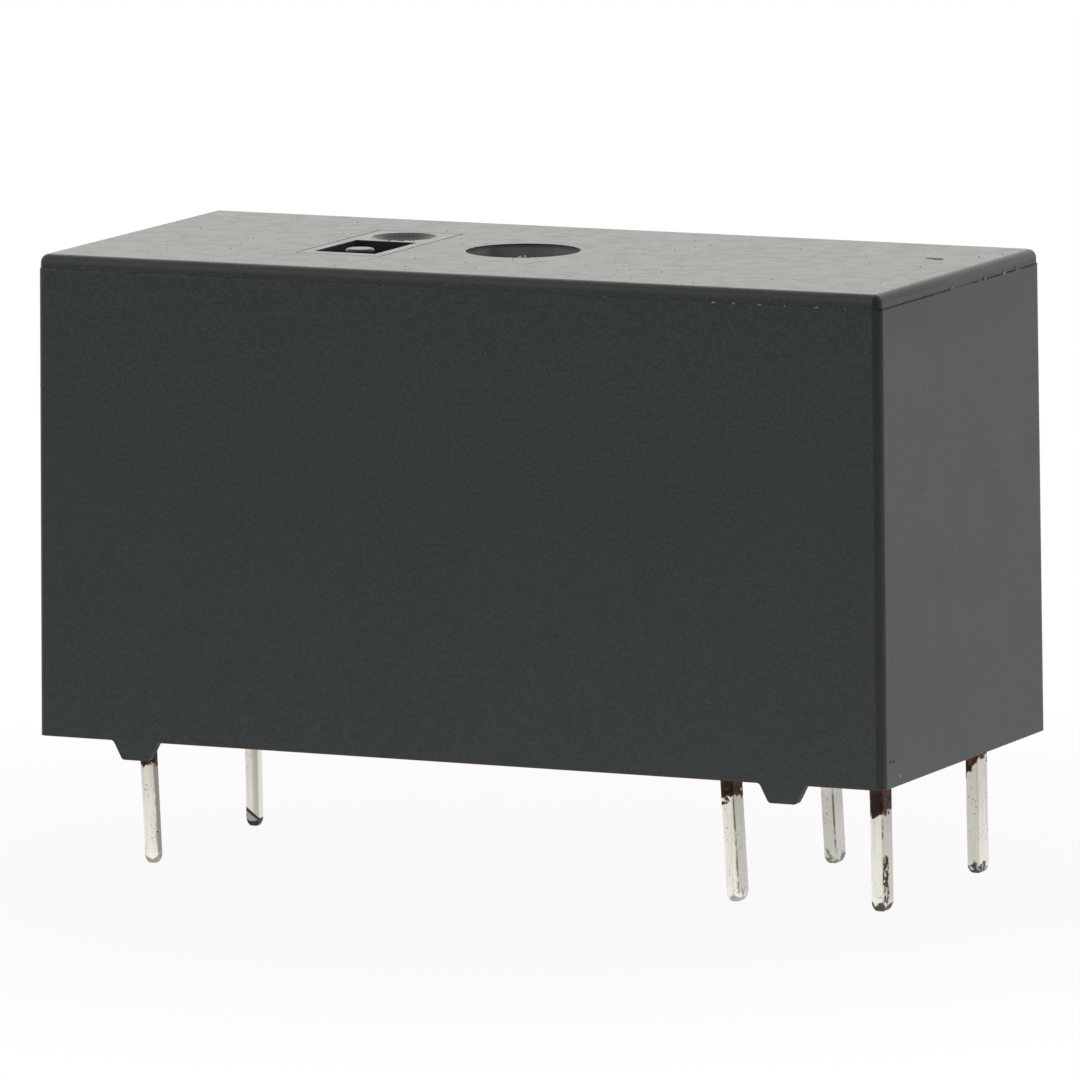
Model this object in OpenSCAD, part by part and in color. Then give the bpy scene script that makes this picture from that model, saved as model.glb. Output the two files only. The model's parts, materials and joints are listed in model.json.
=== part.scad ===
// Low upright power relay for circuit boards, one make contact, in millimetres.
// The board's surface is z = 0, the middle of the case is x = y = 0, and +X points to the contact end.

/* [Case] */
// Length of the case
case_l = 28.9; // [28.4:0.1:31]
// Width of the case
case_w = 12.8; // [12.2:0.1:14]
// Height of the case above the board, feet included
case_h = 15.8; // [15.2:0.1:18]
// Thickness of the side walls at the rim
wall_t = 0.8; // [0.7:0.05:0.95]
// Thickness of the roof
roof_t = 1; // [0.9:0.05:1.3]
// How far each side wall leans in from the rim to the roof
draft = 0.115; // [0.05:0.005:0.2]
// Radius of the upright edges and of the edge round the roof
edge_r = 0.28; // [0.2:0.01:0.4]
// Depth of the mould parting line below the roof
parting_drop = 0.45; // [0.4:0.01:0.8]
// How far the part above the parting line is set in
parting_step = 0.02; // [0.01:0.01:0.06]
// How far the ribs inside the long walls stand out
stop_rib_t = 0.3; // [0.15:0.05:0.35]
// Width of the ribs inside the long walls
stop_rib_w = 0.8; // [0.5:0.1:1.2]

/* [Feet] */
// Height of the feet that hold the case off the board
foot_h = 0.6; // [0.3:0.05:0.8]
// Distance of a foot's middle from the end of the case
foot_inset = 3.39; // [2.5:0.01:5]
// Width of a foot at the rim
foot_root_w = 1.55; // [1.4:0.05:2.4]
// Width of a foot at the board
foot_tip_w = 0.92; // [0.7:0.01:1.2]
// Thickness of a foot, from the outer face inwards
foot_t = 0.3; // [0.2:0.05:0.6]
// Radius of the blends on a foot
foot_blend_r = 0.14; // [0.05:0.01:0.2]

/* [Roof recesses] */
// Diameter of the round recess
gate_d = 3.6; // [2.5:0.1:4]
// Depth of the round recess
gate_depth = 0.6; // [0.3:0.05:0.7]
// Place of the round recess along the case
gate_x = -0.5; // [-1:0.1:1]
// Place of the vent pocket along the case
pocket_x = -5.52; // [-6:0.01:-5]
// Place of the vent pocket across the case
pocket_y = -0.92; // [-1.1:0.01:-0.8]
// Length of the vent pocket
pocket_l = 2.1; // [1.5:0.05:2.2]
// Width of the vent pocket
pocket_w = 3.05; // [2.6:0.05:3.2]
// Depth of the vent pocket
pocket_depth = 0.6; // [0.4:0.05:0.7]
// Diameter of the nib in the pocket
nib_d = 0.88; // [0.7:0.01:1.1]
// Distance of the nib from the middle of the pocket
nib_shift = 0.4; // [0.2:0.05:0.6]
// Bevel round the top of the nib
nib_edge = 0.12; // [0.05:0.01:0.2]
// Diameter of the blind vent bore under the nib
vent_d = 0.4; // [0.3:0.05:0.5]
// How far the vent bore rises past the floor of the pocket
vent_rise = 0.35; // [0.2:0.05:0.4]
// Diameter of the dimple beside the pocket
dimple_d = 2.05; // [1.6:0.05:2.4]
// Depth of the dimple
dimple_depth = 0.3; // [0.15:0.05:0.5]
// Place of the dimple across the case
dimple_y = 1.9; // [1.7:0.05:2.2]
// Length of the mould insert whose outline shows round pocket and dimple
insert_l = 2.9; // [2.5:0.05:3.4]
// Width of that insert
insert_w = 6.1; // [5.6:0.05:6.6]
// Place of that insert across the case
insert_y = 0.1; // [0:0.05:0.3]
// Width of the fine line that the insert leaves
insert_line_w = 0.05; // [0.03:0.01:0.1]
// Depth of that line
insert_line_depth = 0.03; // [0.02:0.01:0.1]

/* [Pins] */
// Distance between the two rows of pins
row_pitch = 7.5; // [7:0.1:8]
// Distance between the two contact pairs
contact_pitch = 5.04; // [4.6:0.02:5.4]
// Distance of the coil pair from its end of the case
coil_margin = 2.49; // [2.2:0.01:2.9]
// Distance of the outer contact pair from its end of the case
end_margin = 1.27; // [1.1:0.01:1.5]
// Length of the contact pins below the board's surface
pin_l = 3.6; // [3:0.1:5]
// Length of the coil pins below the board's surface
coil_pin_l = 3.7; // [3:0.1:5]
// Length of the rounded tip
pin_tip_l = 0.45; // [0.2:0.05:0.8]
// Share of a pin's width that is left flat at its tip
pin_tip_flat = 0.35; // [0.2:0.05:0.7]
// Radius of the pins' long edges
pin_edge_r = 0.07; // [0.03:0.01:0.1]
// Thickness of the contact terminals
term_t = 0.43; // [0.35:0.01:0.55]
// Width of a contact pin
contact_pin_w = 0.8; // [0.6:0.05:1]
// Width of a coil pin along the case
coil_pin_w = 0.5; // [0.35:0.01:0.6]
// Width of a coil pin across the case
coil_pin_t = 0.32; // [0.25:0.01:0.5]
// Height of the coil pins' wrap posts above their block
wrap_post_h = 1.5; // [1.3:0.05:1.8]
// Lean of the front coil pin, in degrees
coil_front_lean = 2.3; // [0:0.1:4]
// Lean of the back coil pin, in degrees
coil_back_lean = 0.5; // [0:0.1:4]
// Lean of the common pins, in degrees
common_lean = 3.2; // [0:0.1:4]
// Lean of the fixed pins, in degrees
fixed_lean = 0.9; // [0:0.1:4]

/* [Base and resin] */
// Depth of the resin's face above the rim of the cover
resin_recess = 0.2; // [0.1:0.05:0.4]
// Thickness of the resin
resin_t = 0.4; // [0.3:0.05:0.6]
// Thickness of the base plate
base_t = 1.4; // [1.2:0.05:1.6]
// Play of the base in the cover
base_fit = 0.05; // [0.02:0.01:0.1]
// Play of the pins in the base's slots
slot_fit = 0.05; // [0.02:0.01:0.1]
// Thickness of the wall between coil and contacts
barrier_t = 0.8; // [0.6:0.05:0.9]
// Gap between that wall and the contact spring
barrier_gap = 0.8; // [0.7:0.05:0.95]
// Gap between that wall and the yoke
yoke_gap = 0.2; // [0.15:0.05:0.3]
// Height of the ribs that the yoke rests on
yoke_rib_h = 0.5; // [0.45:0.05:0.7]
// Width of those ribs
yoke_rib_w = 0.6; // [0.4:0.05:0.8]
// Height of the cheeks beside the contact terminals
cheek_h = 2; // [1:0.1:2.4]
// Half the length of those cheeks along the case
cheek_reach = 0.9; // [0.6:0.05:1.1]

/* [Coil] */
// Distance of the pole face from the coil pins
pole_offset = 0.85; // [0.75:0.05:1]
// Share of the coil's diameter that the core takes
core_share = 0.5; // [0.42:0.01:0.55]
// Play of the core in the bobbin
core_fit = 0.03; // [0.01:0.01:0.06]
// Thickness of the pole head
head_t = 0.8; // [0.6:0.05:1]
// How much smaller the pole head is than the winding, at the radius
head_margin = 0.2; // [0.1:0.05:0.4]
// How much thinner the core's staked end is, at the radius
stake_step = 0.4; // [0.3:0.05:0.6]
// Height of the staked rim behind the yoke
stake_h = 0.1; // [0.05:0.01:0.14]
// Width of the staked rim round the core's end
stake_rim = 0.3; // [0.2:0.05:0.5]
// Thickness of the bobbin's flanges
flange_t = 0.8; // [0.6:0.05:1]
// Gap between the flanges and the long walls
flange_gap = 0.45; // [0.4:0.01:0.6]
// Radius of the flanges' upper corners
flange_r = 1.2; // [0.6:0.1:2]
// Thickness of the bobbin's tube
tube_t = 0.5; // [0.4:0.05:0.6]
// How far the flanges stand over the tape
flange_lip = 0.4; // [0.2:0.05:0.6]
// Thickness of the tape round the winding
tape_t = 0.06; // [0.04:0.01:0.1]
// Gap between tape and yoke
coil_gap = 0.1; // [0.05:0.01:0.2]
// Width of the bobbin's blocks that hold the coil pins
block_w = 1.6; // [1.4:0.05:1.7]
// How far a block reaches past its pin
block_reach = 0.55; // [0.4:0.05:0.7]
// Height of the blocks
block_h = 2.1; // [1.8:0.05:2.2]
// Height of the ears that guide the card
ear_h = 0.6; // [0.3:0.05:0.7]
// Thickness of those ears
ear_t = 0.6; // [0.4:0.05:0.8]
// Angle below the coil's middle at which the leads leave the tape
lead_angle = 34; // [25:1:40]
// Diameter of the coil's lead wires
lead_d = 0.14; // [0.1:0.01:0.16]
// Turns of each lead round its post
lead_turns = 5; // [3:1:6]

/* [Yoke and armature] */
// Thickness of the yoke
yoke_t = 1.4; // [1.2:0.05:1.5]
// Outer radius of the yoke's bend
yoke_bend_r = 1; // [0.5:0.1:1.2]
// How far the yoke stands out past the tape on each side
yoke_over = 0.35; // [0.2:0.05:0.4]
// Least width left for the bobbin's legs beside the yoke
leg_w = 0.55; // [0.5:0.05:0.8]
// Gap between the iron parts and the bobbin
iron_gap = 0.1; // [0.05:0.01:0.2]
// Thickness of the armature
arm_t = 1.2; // [1:0.05:1.3]
// Width of the armature in front of the pole
arm_w = 8.6; // [8:0.1:9]
// Film left between closed armature and pole
pole_film = 0.02; // [0.01:0.01:0.05]
// How far the armature reaches below the yoke's edge
arm_drop = 0.3; // [0.2:0.01:0.35]
// Gap between the armature's shoulders and the wrap posts
arm_post_gap = 0.4; // [0.3:0.05:0.6]
// Width of the armature's tongue
tongue_w = 2.4; // [1.8:0.1:2.8]
// Thickness of the armature's tongue
tongue_t = 0.8; // [0.6:0.05:1]
// Thickness of the hinge spring
hinge_t = 0.15; // [0.1:0.01:0.2]
// Width of the hinge spring
hinge_w = 2; // [1.6:0.1:2.2]
// Length of the hinge spring under the yoke
hinge_l = 4; // [3.4:0.1:5]
// Height of the hinge spring's finger above the yoke's edge
hinge_finger_h = 2.2; // [1.6:0.1:2.4]
// Gap beside the hinge spring in the armature's notch
notch_gap = 0.25; // [0.15:0.05:0.4]
// Height of that notch above the yoke's edge
notch_rise = 0.6; // [0.3:0.05:1]
// Diameter of the studs that hold the hinge spring
stud_d = 0.7; // [0.5:0.05:0.9]
// Diameter of the studs' staked heads
stud_head_d = 1.1; // [1:0.05:1.4]
// Height of the studs' staked heads
stud_head_h = 0.12; // [0.08:0.01:0.15]
// Play between the armature and what its edge runs beside
hinge_play = 0.04; // [0.02:0.01:0.06]

/* [Card] */
// Thickness of the card
card_t = 1; // [0.8:0.05:1.1]
// Width of the card
card_w = 5; // [4.6:0.1:5.6]
// Gap between card and roof
roof_gap = 0.75; // [0.7:0.05:1]
// Play under the card
card_play = 0.05; // [0.03:0.01:0.1]
// Play of the tongue in the card's slot
slot_play = 0.04; // [0.03:0.01:0.08]
// Length of the card past its slot
card_end = 0.45; // [0.3:0.05:0.5]
// Width of the card's nose
nose_w = 3; // [2.4:0.1:3.4]
// Length of the card's nose
nose_l = 2.2; // [1.8:0.1:2.6]
// Radius of the nose's round tip
nose_r = 0.3; // [0.2:0.05:0.35]
// Play between nose and contact spring
nose_play = 0.02; // [0.01:0.01:0.04]
// Width of the opening in the card
card_window_w = 2.6; // [2:0.1:3]

/* [Contacts] */
// Gap between the open contacts
contact_gap = 0.55; // [0.45:0.01:0.6]
// Film left between the closed contacts
contact_film = 0.04; // [0.03:0.01:0.06]
// Diameter of the contacts
contact_d = 2.8; // [2.4:0.1:3]
// Thickness of the moving contact at its rim
moving_head_t = 0.65; // [0.5:0.05:0.8]
// Radius of the moving contact's crown
crown_r = 4; // [3:0.1:6]
// Thickness of the fixed contact
fixed_head_t = 0.7; // [0.5:0.05:0.9]
// Diameter of the contacts' shanks
shank_d = 1.4; // [1:0.1:1.6]
// Diameter of the contacts' rivet tails
tail_d = 2.1; // [1.8:0.1:2.3]
// Height of the contacts' rivet tails
tail_t = 0.3; // [0.2:0.05:0.4]
// Distance of the contacts' middle below the card
contact_drop = 1.95; // [1.9:0.05:2.4]
// Thickness of the contact spring
blade_t = 0.25; // [0.15:0.01:0.3]
// Width of the contact spring at its root
blade_root_w = 6; // [5.2:0.1:6.4]
// Width of the contact spring at the contact
blade_w = 4; // [3.6:0.1:4.6]
// How far the contact spring stands over the card's middle
blade_rise = 0.55; // [0.45:0.05:0.8]
// Gap under the contact spring
blade_foot_gap = 0.3; // [0.15:0.05:0.5]
// Height of the common terminal above the base
common_h = 2.9; // [2.6:0.1:3.2]
// Height of the fixed terminal's straight foot above the base
fixed_foot_h = 2.6; // [2.2:0.1:3]
// Width of the fixed terminal behind its contact
fixed_w = 5; // [4:0.1:6]
// Height of the fixed terminal above its contact's middle
fixed_rise = 1.7; // [1.5:0.1:1.9]
// Distance between the spring's rivets
rivet_pitch = 3.4; // [2.8:0.1:3.8]
// Diameter of the spring's rivets
rivet_d = 1; // [0.8:0.1:1.2]
// Diameter of the rivets' heads
rivet_head_d = 1.7; // [1.5:0.1:2]
// Thickness of the rivets' heads
rivet_head_t = 0.35; // [0.2:0.05:0.4]

/* [Hidden] */
$fn = 48;
thin = 0.02;
moulded_grey = [0.27, 0.29, 0.29];
moulded_black = [0.13, 0.14, 0.14];
moulded_white = [0.86, 0.85, 0.8];
tin = [0.72, 0.71, 0.67];
iron = [0.55, 0.55, 0.53];
bronze = [0.75, 0.52, 0.3];
silver = [0.82, 0.82, 0.8];
copper = [0.66, 0.3, 0.16];

// Room inside the cover
room_x = case_l / 2 - wall_t;
room_y = case_w / 2 - wall_t;
roof_z = case_h - roof_t;
parting_z = case_h - parting_drop;
parting_inset = draft * (parting_z - foot_h) / (case_h - foot_h);

// Heights of the resin and the base
resin_z = foot_h + resin_recess;
base_z = resin_z + resin_t;
floor_z = base_z + base_t;
pin_bend_drop = 0.1;
bend_z = resin_z - pin_bend_drop;

// Pin rows
row_y = row_pitch / 2;
fixed_x = case_l / 2 - end_margin;
common_x = fixed_x - contact_pitch;
coil_x = coil_margin - case_l / 2;
plate_w = row_pitch + contact_pin_w;

// Stations along the case
pole_x = coil_x + pole_offset;
flange_left_x = pole_x + head_t;
winding_x = flange_left_x + flange_t;
blade_x = common_x - term_t / 2 - blade_t;
barrier_x = blade_x - barrier_gap - barrier_t;
yoke_x = barrier_x - yoke_gap - yoke_t;
flange_right_x = yoke_x - flange_t;
winding_l = flange_right_x - winding_x;
bay_x = (common_x + fixed_x) / 2;

// Heights of the magnet and the card
yoke_z = floor_z + yoke_rib_h;
yoke_top_z = yoke_z + yoke_t;
card_z = roof_z - roof_gap - card_t;
card_mid_z = card_z + card_t / 2;
flange_top_z = card_z - card_play;
flange_hw = room_y - flange_gap;

// The coil is round, so the smaller of the height and the width left for it sets its size
coil_room_h = flange_top_z - flange_lip - yoke_top_z - coil_gap;
coil_room_w = 2 * (flange_hw - leg_w - iron_gap - yoke_over);
tape_r = min(coil_room_h, coil_room_w) / 2;
coil_z = yoke_top_z + coil_gap + tape_r;
winding_r = tape_r - tape_t;
core_d = 2 * tape_r * core_share;
stake_d = core_d - 2 * stake_step;
tube_r = core_d / 2 + core_fit + tube_t;
head_r = tape_r - head_margin;
yoke_hw = tape_r + yoke_over;

// Blocks that hold the coil pins, and the yoke's neck between them
block_in_y = row_y - block_w / 2;
block_top_z = floor_z + block_h;
neck_hw = block_in_y - iron_gap;
post_top_z = block_top_z + wrap_post_h;

// Lead wires: on the tape, through the flange's notch and round the post
wire_gap = 0.01;
wrap_r = norm([coil_pin_w, coil_pin_t]) / 2 + lead_d / 2 + wire_gap;
lead_y = row_y + wrap_r;
lead_z = block_top_z + 2 * lead_d;
wrap_pitch = lead_d + wire_gap;
wire_sides = 8;
wire_steps = 12;
lead_start_r = tape_r + lead_d / 2 + wire_gap;

// Contact places
contact_z = card_z - contact_drop;
blade_root_z = floor_z + common_h;
blade_face_x = blade_x + blade_t;
crown_h = crown_r - sqrt(crown_r * crown_r - contact_d * contact_d / 4);
moving_face_x = blade_face_x + moving_head_t + crown_h;
fixed_face_x = moving_face_x + contact_gap;
fixed_plate_x = fixed_face_x + fixed_head_t;
fixed_bend_z = floor_z + fixed_foot_h;
fixed_jog = fixed_x - term_t / 2 - fixed_plate_x;
rivet_z = floor_z + (common_h + blade_foot_gap) / 2;

// Travel from open to closed: the contact spring, the card that pushes it, and the armature
spring_angle = asin((contact_gap - contact_film) / (contact_z - blade_root_z));
card_travel = (card_mid_z - blade_root_z) * sin(spring_angle);
arm_angle = asin(card_travel / (card_mid_z - yoke_z));

// Armature and its hinge edge
hinge_x = pole_x - pole_film;
shoulder_z = post_top_z + arm_post_gap;
arm_top_z = coil_z + head_r + head_margin;
tongue_top_z = card_z + card_t - card_play;
notch_w = hinge_w + 2 * notch_gap;
notch_top_z = yoke_z + notch_rise;
arm_back_x = hinge_x - arm_t / cos(arm_angle);
finger_x = arm_back_x - hinge_finger_h * tan(arm_angle) - hinge_play;

// Places of the hinge spring's studs, as shares of its length from the pole
stud_shares = [0.4, 0.75];
stud_x = [for (share = stud_shares) pole_x + share * hinge_l];

// Card ends, from the open armature's tongue and the contact spring
tongue_lean = tan(arm_angle);
slot_right_x = hinge_x - (card_z - yoke_z) * tongue_lean + slot_play;
slot_left_x = hinge_x - tongue_t / cos(arm_angle) - (card_z + card_t - yoke_z) * tongue_lean - slot_play;
card_left_x = slot_left_x - card_end;
card_tip_x = blade_x - nose_play;

// Turns a shape that stands on Z so that it points along +X
module along_x(x, y, z) {
    translate([x, y, z]) rotate([0, 90, 0]) children();
}

// Thickens an outline drawn in Y and Z along +X
module slab_x(x, thick) {
    translate([x, 0, 0]) rotate([90, 0, 90]) linear_extrude(thick) children();
}

// Thickens an outline drawn in X and Z to both sides of the middle plane
module slab_y(wide) {
    rotate([90, 0, 0]) linear_extrude(wide, center = true) children();
}

// Box from its lowest to its highest corner
module span(low, high) {
    translate(low) cube(high - low);
}

module both_sides() {
    children();
    mirror([0, 1, 0]) children();
}

// Four short posts at the corners of the case, set in by a draft
module case_corners(inset, z) {
    for (sx = [-1, 1], sy = [-1, 1])
        translate([sx * (case_l / 2 - inset - edge_r), sy * (case_w / 2 - inset - edge_r), z])
            cylinder(r = edge_r, h = thin, $fn = 32);
}

module roof_corners(inset) {
    for (sx = [-1, 1], sy = [-1, 1])
        translate([sx * (case_l / 2 - inset - edge_r), sy * (case_w / 2 - inset - edge_r), case_h - edge_r])
            sphere(r = edge_r, $fn = 32);
}

module case_outside() {
    hull() {
        case_corners(0, foot_h);
        case_corners(parting_inset, parting_z - thin);
    }
    hull() {
        case_corners(parting_inset + parting_step, parting_z - thin);
        roof_corners(draft + parting_step);
    }
}

// Outline of a foot with the strip of wall that it blends into
module foot_outline() {
    offset(r = foot_blend_r) offset(delta = -foot_blend_r)
        offset(r = -foot_blend_r) offset(delta = foot_blend_r)
            union() {
                polygon([[-foot_root_w / 2, foot_h], [-foot_tip_w / 2, 0], [foot_tip_w / 2, 0], [foot_root_w / 2, foot_h]]);
                translate([-foot_root_w, foot_h]) square([2 * foot_root_w, wall_t]);
            }
}

module feet() {
    for (sx = [-1, 1], sy = [-1, 1])
        translate([sx * (case_l / 2 - foot_inset), sy * (case_w - foot_t) / 2, 0])
            slab_y(foot_t) foot_outline();
}

// Ribs inside the long walls that the base is pushed up against
module stop_ribs() {
    stations = [winding_x + winding_l / 4, winding_x + winding_l * 3 / 4, bay_x];
    for (x = stations, sy = [-1, 1])
        translate([x - stop_rib_w / 2, sy * (room_y - stop_rib_t / 2) - stop_rib_t / 2, floor_z])
            cube([stop_rib_w, stop_rib_t, roof_z - floor_z]);
}

module roof_recesses() {
    translate([gate_x, 0, case_h - gate_depth]) cylinder(d = gate_d, h = roof_t);
    translate([pocket_x, dimple_y, case_h - dimple_depth]) cylinder(d = dimple_d, h = roof_t);
    translate([pocket_x - pocket_l / 2, pocket_y - pocket_w / 2, case_h - pocket_depth])
        cube([pocket_l, pocket_w, roof_t]);
    translate([pocket_x, insert_y, case_h - insert_line_depth]) linear_extrude(roof_t)
        difference() {
            square([insert_l + insert_line_w, insert_w + insert_line_w], center = true);
            square([insert_l - insert_line_w, insert_w - insert_line_w], center = true);
        }
}

// Nib over the vent bore, bevelled round its top
module nib() {
    hull() {
        cylinder(d = nib_d, h = roof_t - nib_edge);
        cylinder(d = nib_d - 2 * nib_edge, h = roof_t);
    }
}

module cover() {
    color(moulded_grey) difference() {
        union() {
            difference() {
                case_outside();
                span([-room_x, -room_y, foot_h - wall_t], [room_x, room_y, roof_z]);
                roof_recesses();
            }
            feet();
            stop_ribs();
            translate([pocket_x, pocket_y - nib_shift, roof_z]) nib();
        }
        translate([pocket_x, pocket_y - nib_shift, roof_z - wall_t])
            cylinder(d = vent_d, h = wall_t + roof_t - pocket_depth + vent_rise);
    }
}

// Cross-sections of all six pins, widened by a fit
module pin_sections(fit) {
    for (sy = [-1, 1]) {
        translate([coil_x, sy * row_y]) square([coil_pin_w + 2 * fit, coil_pin_t + 2 * fit], center = true);
        for (x = [common_x, fixed_x])
            translate([x, sy * row_y]) square([term_t + 2 * fit, contact_pin_w + 2 * fit], center = true);
    }
}

// Cheeks that keep a contact terminal's plate from shifting sideways
module cheeks(x, right_x) {
    both_sides()
        span([x - cheek_reach, plate_w / 2 + slot_fit, floor_z], [right_x, room_y - base_fit, floor_z + cheek_h]);
}

module base() {
    base_x = room_x - base_fit;
    base_y = room_y - base_fit;
    rib_y = neck_hw - yoke_rib_w;
    color(moulded_black) difference() {
        union() {
            span([-base_x, -base_y, base_z], [base_x, base_y, floor_z]);
            span([barrier_x, -base_y, floor_z], [barrier_x + barrier_t, base_y, card_z - 2 * card_play]);
            both_sides() span([winding_x, rib_y, floor_z], [yoke_x, rib_y + yoke_rib_w, yoke_z]);
            cheeks(common_x, common_x + cheek_reach);
            cheeks(fixed_x, base_x);
        }
        translate([0, 0, base_z - thin]) linear_extrude(base_t + 2 * thin) pin_sections(slot_fit);
    }
}

module sealing_resin() {
    color(moulded_black) translate([0, 0, resin_z]) linear_extrude(resin_t) difference() {
        square([2 * room_x, 2 * room_y], center = true);
        pin_sections(0);
    }
}

// Flange outline with round upper corners
module flange_outline() {
    high = flange_top_z - floor_z;
    translate([-flange_hw, floor_z]) square([2 * flange_hw, high - flange_r]);
    translate([-flange_hw + flange_r, floor_z]) square([2 * (flange_hw - flange_r), high]);
    for (sy = [-1, 1])
        translate([sy * (flange_hw - flange_r), flange_top_z - flange_r]) circle(r = flange_r);
}

// Opening under a flange, for the yoke
module yoke_opening(x, hw) {
    span([x - thin, -hw, floor_z - thin], [x + flange_t + thin, hw, yoke_top_z + iron_gap / 2]);
}

module bobbin() {
    ear_y = card_w / 2 + iron_gap;
    block_left_x = coil_x - block_reach;
    color(moulded_white) difference() {
        union() {
            slab_x(flange_left_x, flange_t) flange_outline();
            slab_x(flange_right_x, flange_t) flange_outline();
            along_x(flange_left_x, 0, coil_z) cylinder(r = tube_r, h = flange_right_x - flange_left_x);
            both_sides() {
                span([block_left_x, block_in_y, floor_z], [flange_left_x, block_in_y + block_w, block_top_z]);
                for (x = [flange_left_x, flange_right_x])
                    span([x, ear_y, flange_top_z - ear_t], [x + flange_t, ear_y + ear_t, flange_top_z + ear_h]);
            }
        }
        along_x(flange_left_x - thin, 0, coil_z)
            cylinder(r = core_d / 2 + core_fit, h = yoke_x - flange_left_x + 2 * thin);
        yoke_opening(flange_left_x, neck_hw + iron_gap);
        yoke_opening(flange_right_x, yoke_hw + iron_gap);
        both_sides() {
            translate([coil_x, row_y, floor_z - thin]) linear_extrude(block_h + 2 * thin)
                square([coil_pin_w, coil_pin_t], center = true);
            span([flange_left_x - thin, lead_y - lead_d, lead_z - lead_d], [winding_x + thin, room_y, lead_z + lead_d]);
        }
    }
}

module coil_winding() {
    color(copper) along_x(winding_x, 0, coil_z) rotate_extrude()
        translate([tube_r, 0]) square([winding_r - tube_r, winding_l]);
}

module coil_tape() {
    color(moulded_black) along_x(winding_x, 0, coil_z) rotate_extrude()
        translate([winding_r, tape_t]) square([tape_t, winding_l - 2 * tape_t]);
}

// Ring of points round one place on a wire, square to its run
function wire_ring(at, run) =
    let (dir = run / norm(run), up = [0, 0, 1] - dir[2] * dir, n = up / norm(up), side = cross(dir, n))
    [for (k = [0 : wire_sides - 1])
        at + lead_d / 2 * (cos(360 * k / wire_sides) * n + sin(360 * k / wire_sides) * side)];

// Tube along a list of points
module wire(path) {
    last = len(path) - 1;
    rings = [for (i = [0 : last]) wire_ring(path[i], path[min(i + 1, last)] - path[max(i - 1, 0)])];
    walls = [for (i = [0 : last - 1], k = [0 : wire_sides - 1])
        let (n = (k + 1) % wire_sides, low = i * wire_sides, high = low + wire_sides)
        [low + k, low + n, high + n, high + k]];
    start_cap = [for (k = [wire_sides - 1 : -1 : 0]) k];
    end_cap = [for (k = [0 : wire_sides - 1]) last * wire_sides + k];
    polyhedron([for (ring = rings) each ring], concat(walls, [start_cap, end_cap]));
}

// A lead leaves the winding beside the flange, bends through its notch and ends in turns round the post
module coil_lead() {
    start_y = lead_start_r * cos(lead_angle);
    start = [winding_x + 4 * lead_d, start_y, coil_z - lead_start_r * sin(lead_angle)];
    corner = [winding_x + 3 * lead_d, lead_y, lead_z];
    notch = [winding_x + lead_d, lead_y, lead_z];
    bend = [for (t = [0 : 0.2 : 1]) (1 - t) ^ 2 * start + 2 * t * (1 - t) * corner + t ^ 2 * notch];
    turns = [for (a = [0 : 360 / wire_steps : 360 * lead_turns])
        [coil_x - wrap_r * sin(a), row_y + wrap_r * cos(a), lead_z + wrap_pitch * a / 360]];
    wire(concat(bend, turns));
}

module coil_lead_front() {
    color(copper) mirror([0, 1, 0]) coil_lead();
}

module coil_lead_back() {
    color(copper) coil_lead();
}

// Outline of a pin below its bend: straight, then a rounded tip with a small flat end
module pin_outline(wide, long) {
    half = wide / 2;
    round_z = pin_tip_l - long;
    right = [for (a = [0 : 15 : 90])
        [half * (pin_tip_flat + (1 - pin_tip_flat) * cos(a)), round_z - pin_tip_l * sin(a)]];
    left = [for (i = [len(right) - 1 : -1 : 0]) [-right[i][0], right[i][1]]];
    polygon(concat([[half, pin_bend_drop / 2]], right, left, [[-half, pin_bend_drop / 2]]));
}

// Cross-section of a pin with rounded edges
module pin_section(size_x, size_y) {
    square([size_x, size_y - 2 * pin_edge_r], center = true);
    square([size_x - 2 * pin_edge_r, size_y], center = true);
    for (sx = [-1, 1], sy = [-1, 1])
        translate([sx * (size_x / 2 - pin_edge_r), sy * (size_y / 2 - pin_edge_r)]) circle(r = pin_edge_r);
}

// Pin below the resin, leaning from its bend
module pin_end(size_x, size_y, below, lean) {
    long = (bend_z + below) / cos(lean);
    translate([0, 0, bend_z]) rotate([0, -lean, 0]) intersection() {
        slab_y(size_y) pin_outline(size_x, long);
        slab_x(-size_x / 2, size_x) pin_outline(size_y, long);
        translate([0, 0, -long]) linear_extrude(long + pin_bend_drop / 2) pin_section(size_x, size_y);
    }
}

module coil_terminal(lean) {
    span([-coil_pin_w / 2, -coil_pin_t / 2, bend_z], [coil_pin_w / 2, coil_pin_t / 2, post_top_z]);
    pin_end(coil_pin_w, coil_pin_t, coil_pin_l, lean);
}

module coil_terminal_front() {
    color(tin) translate([coil_x, -row_y, 0]) coil_terminal(coil_front_lean);
}

module coil_terminal_back() {
    color(tin) translate([coil_x, row_y, 0]) coil_terminal(coil_back_lean);
}

// Core turned in one piece: pole head, shaft, neck through the yoke and staked rim
module core() {
    back_x = yoke_x + yoke_t - pole_x;
    color(iron) along_x(pole_x, 0, coil_z) union() {
        rotate_extrude() difference() {
            square([head_r, head_t]);
            translate([head_r, 0]) rotate(45) square(head_t / 4, center = true);
        }
        cylinder(d = core_d, h = yoke_x - pole_x);
        cylinder(d = stake_d, h = back_x);
        translate([0, 0, back_x]) cylinder(d = stake_d + 2 * stake_rim, h = stake_h);
    }
}

// Side view of the yoke: lying limb, bend and upright limb
module yoke_side() {
    right_x = yoke_x + yoke_t;
    bend_x = right_x - yoke_bend_r;
    difference() {
        union() {
            translate([winding_x, yoke_z]) square([right_x - winding_x, yoke_t]);
            translate([yoke_x, yoke_z]) square([yoke_t, flange_top_z - flange_lip - yoke_z]);
        }
        difference() {
            translate([bend_x, yoke_z - thin]) square([yoke_bend_r + thin, yoke_bend_r + thin]);
            translate([bend_x, yoke_z + yoke_bend_r]) circle(r = yoke_bend_r);
        }
    }
}

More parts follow.
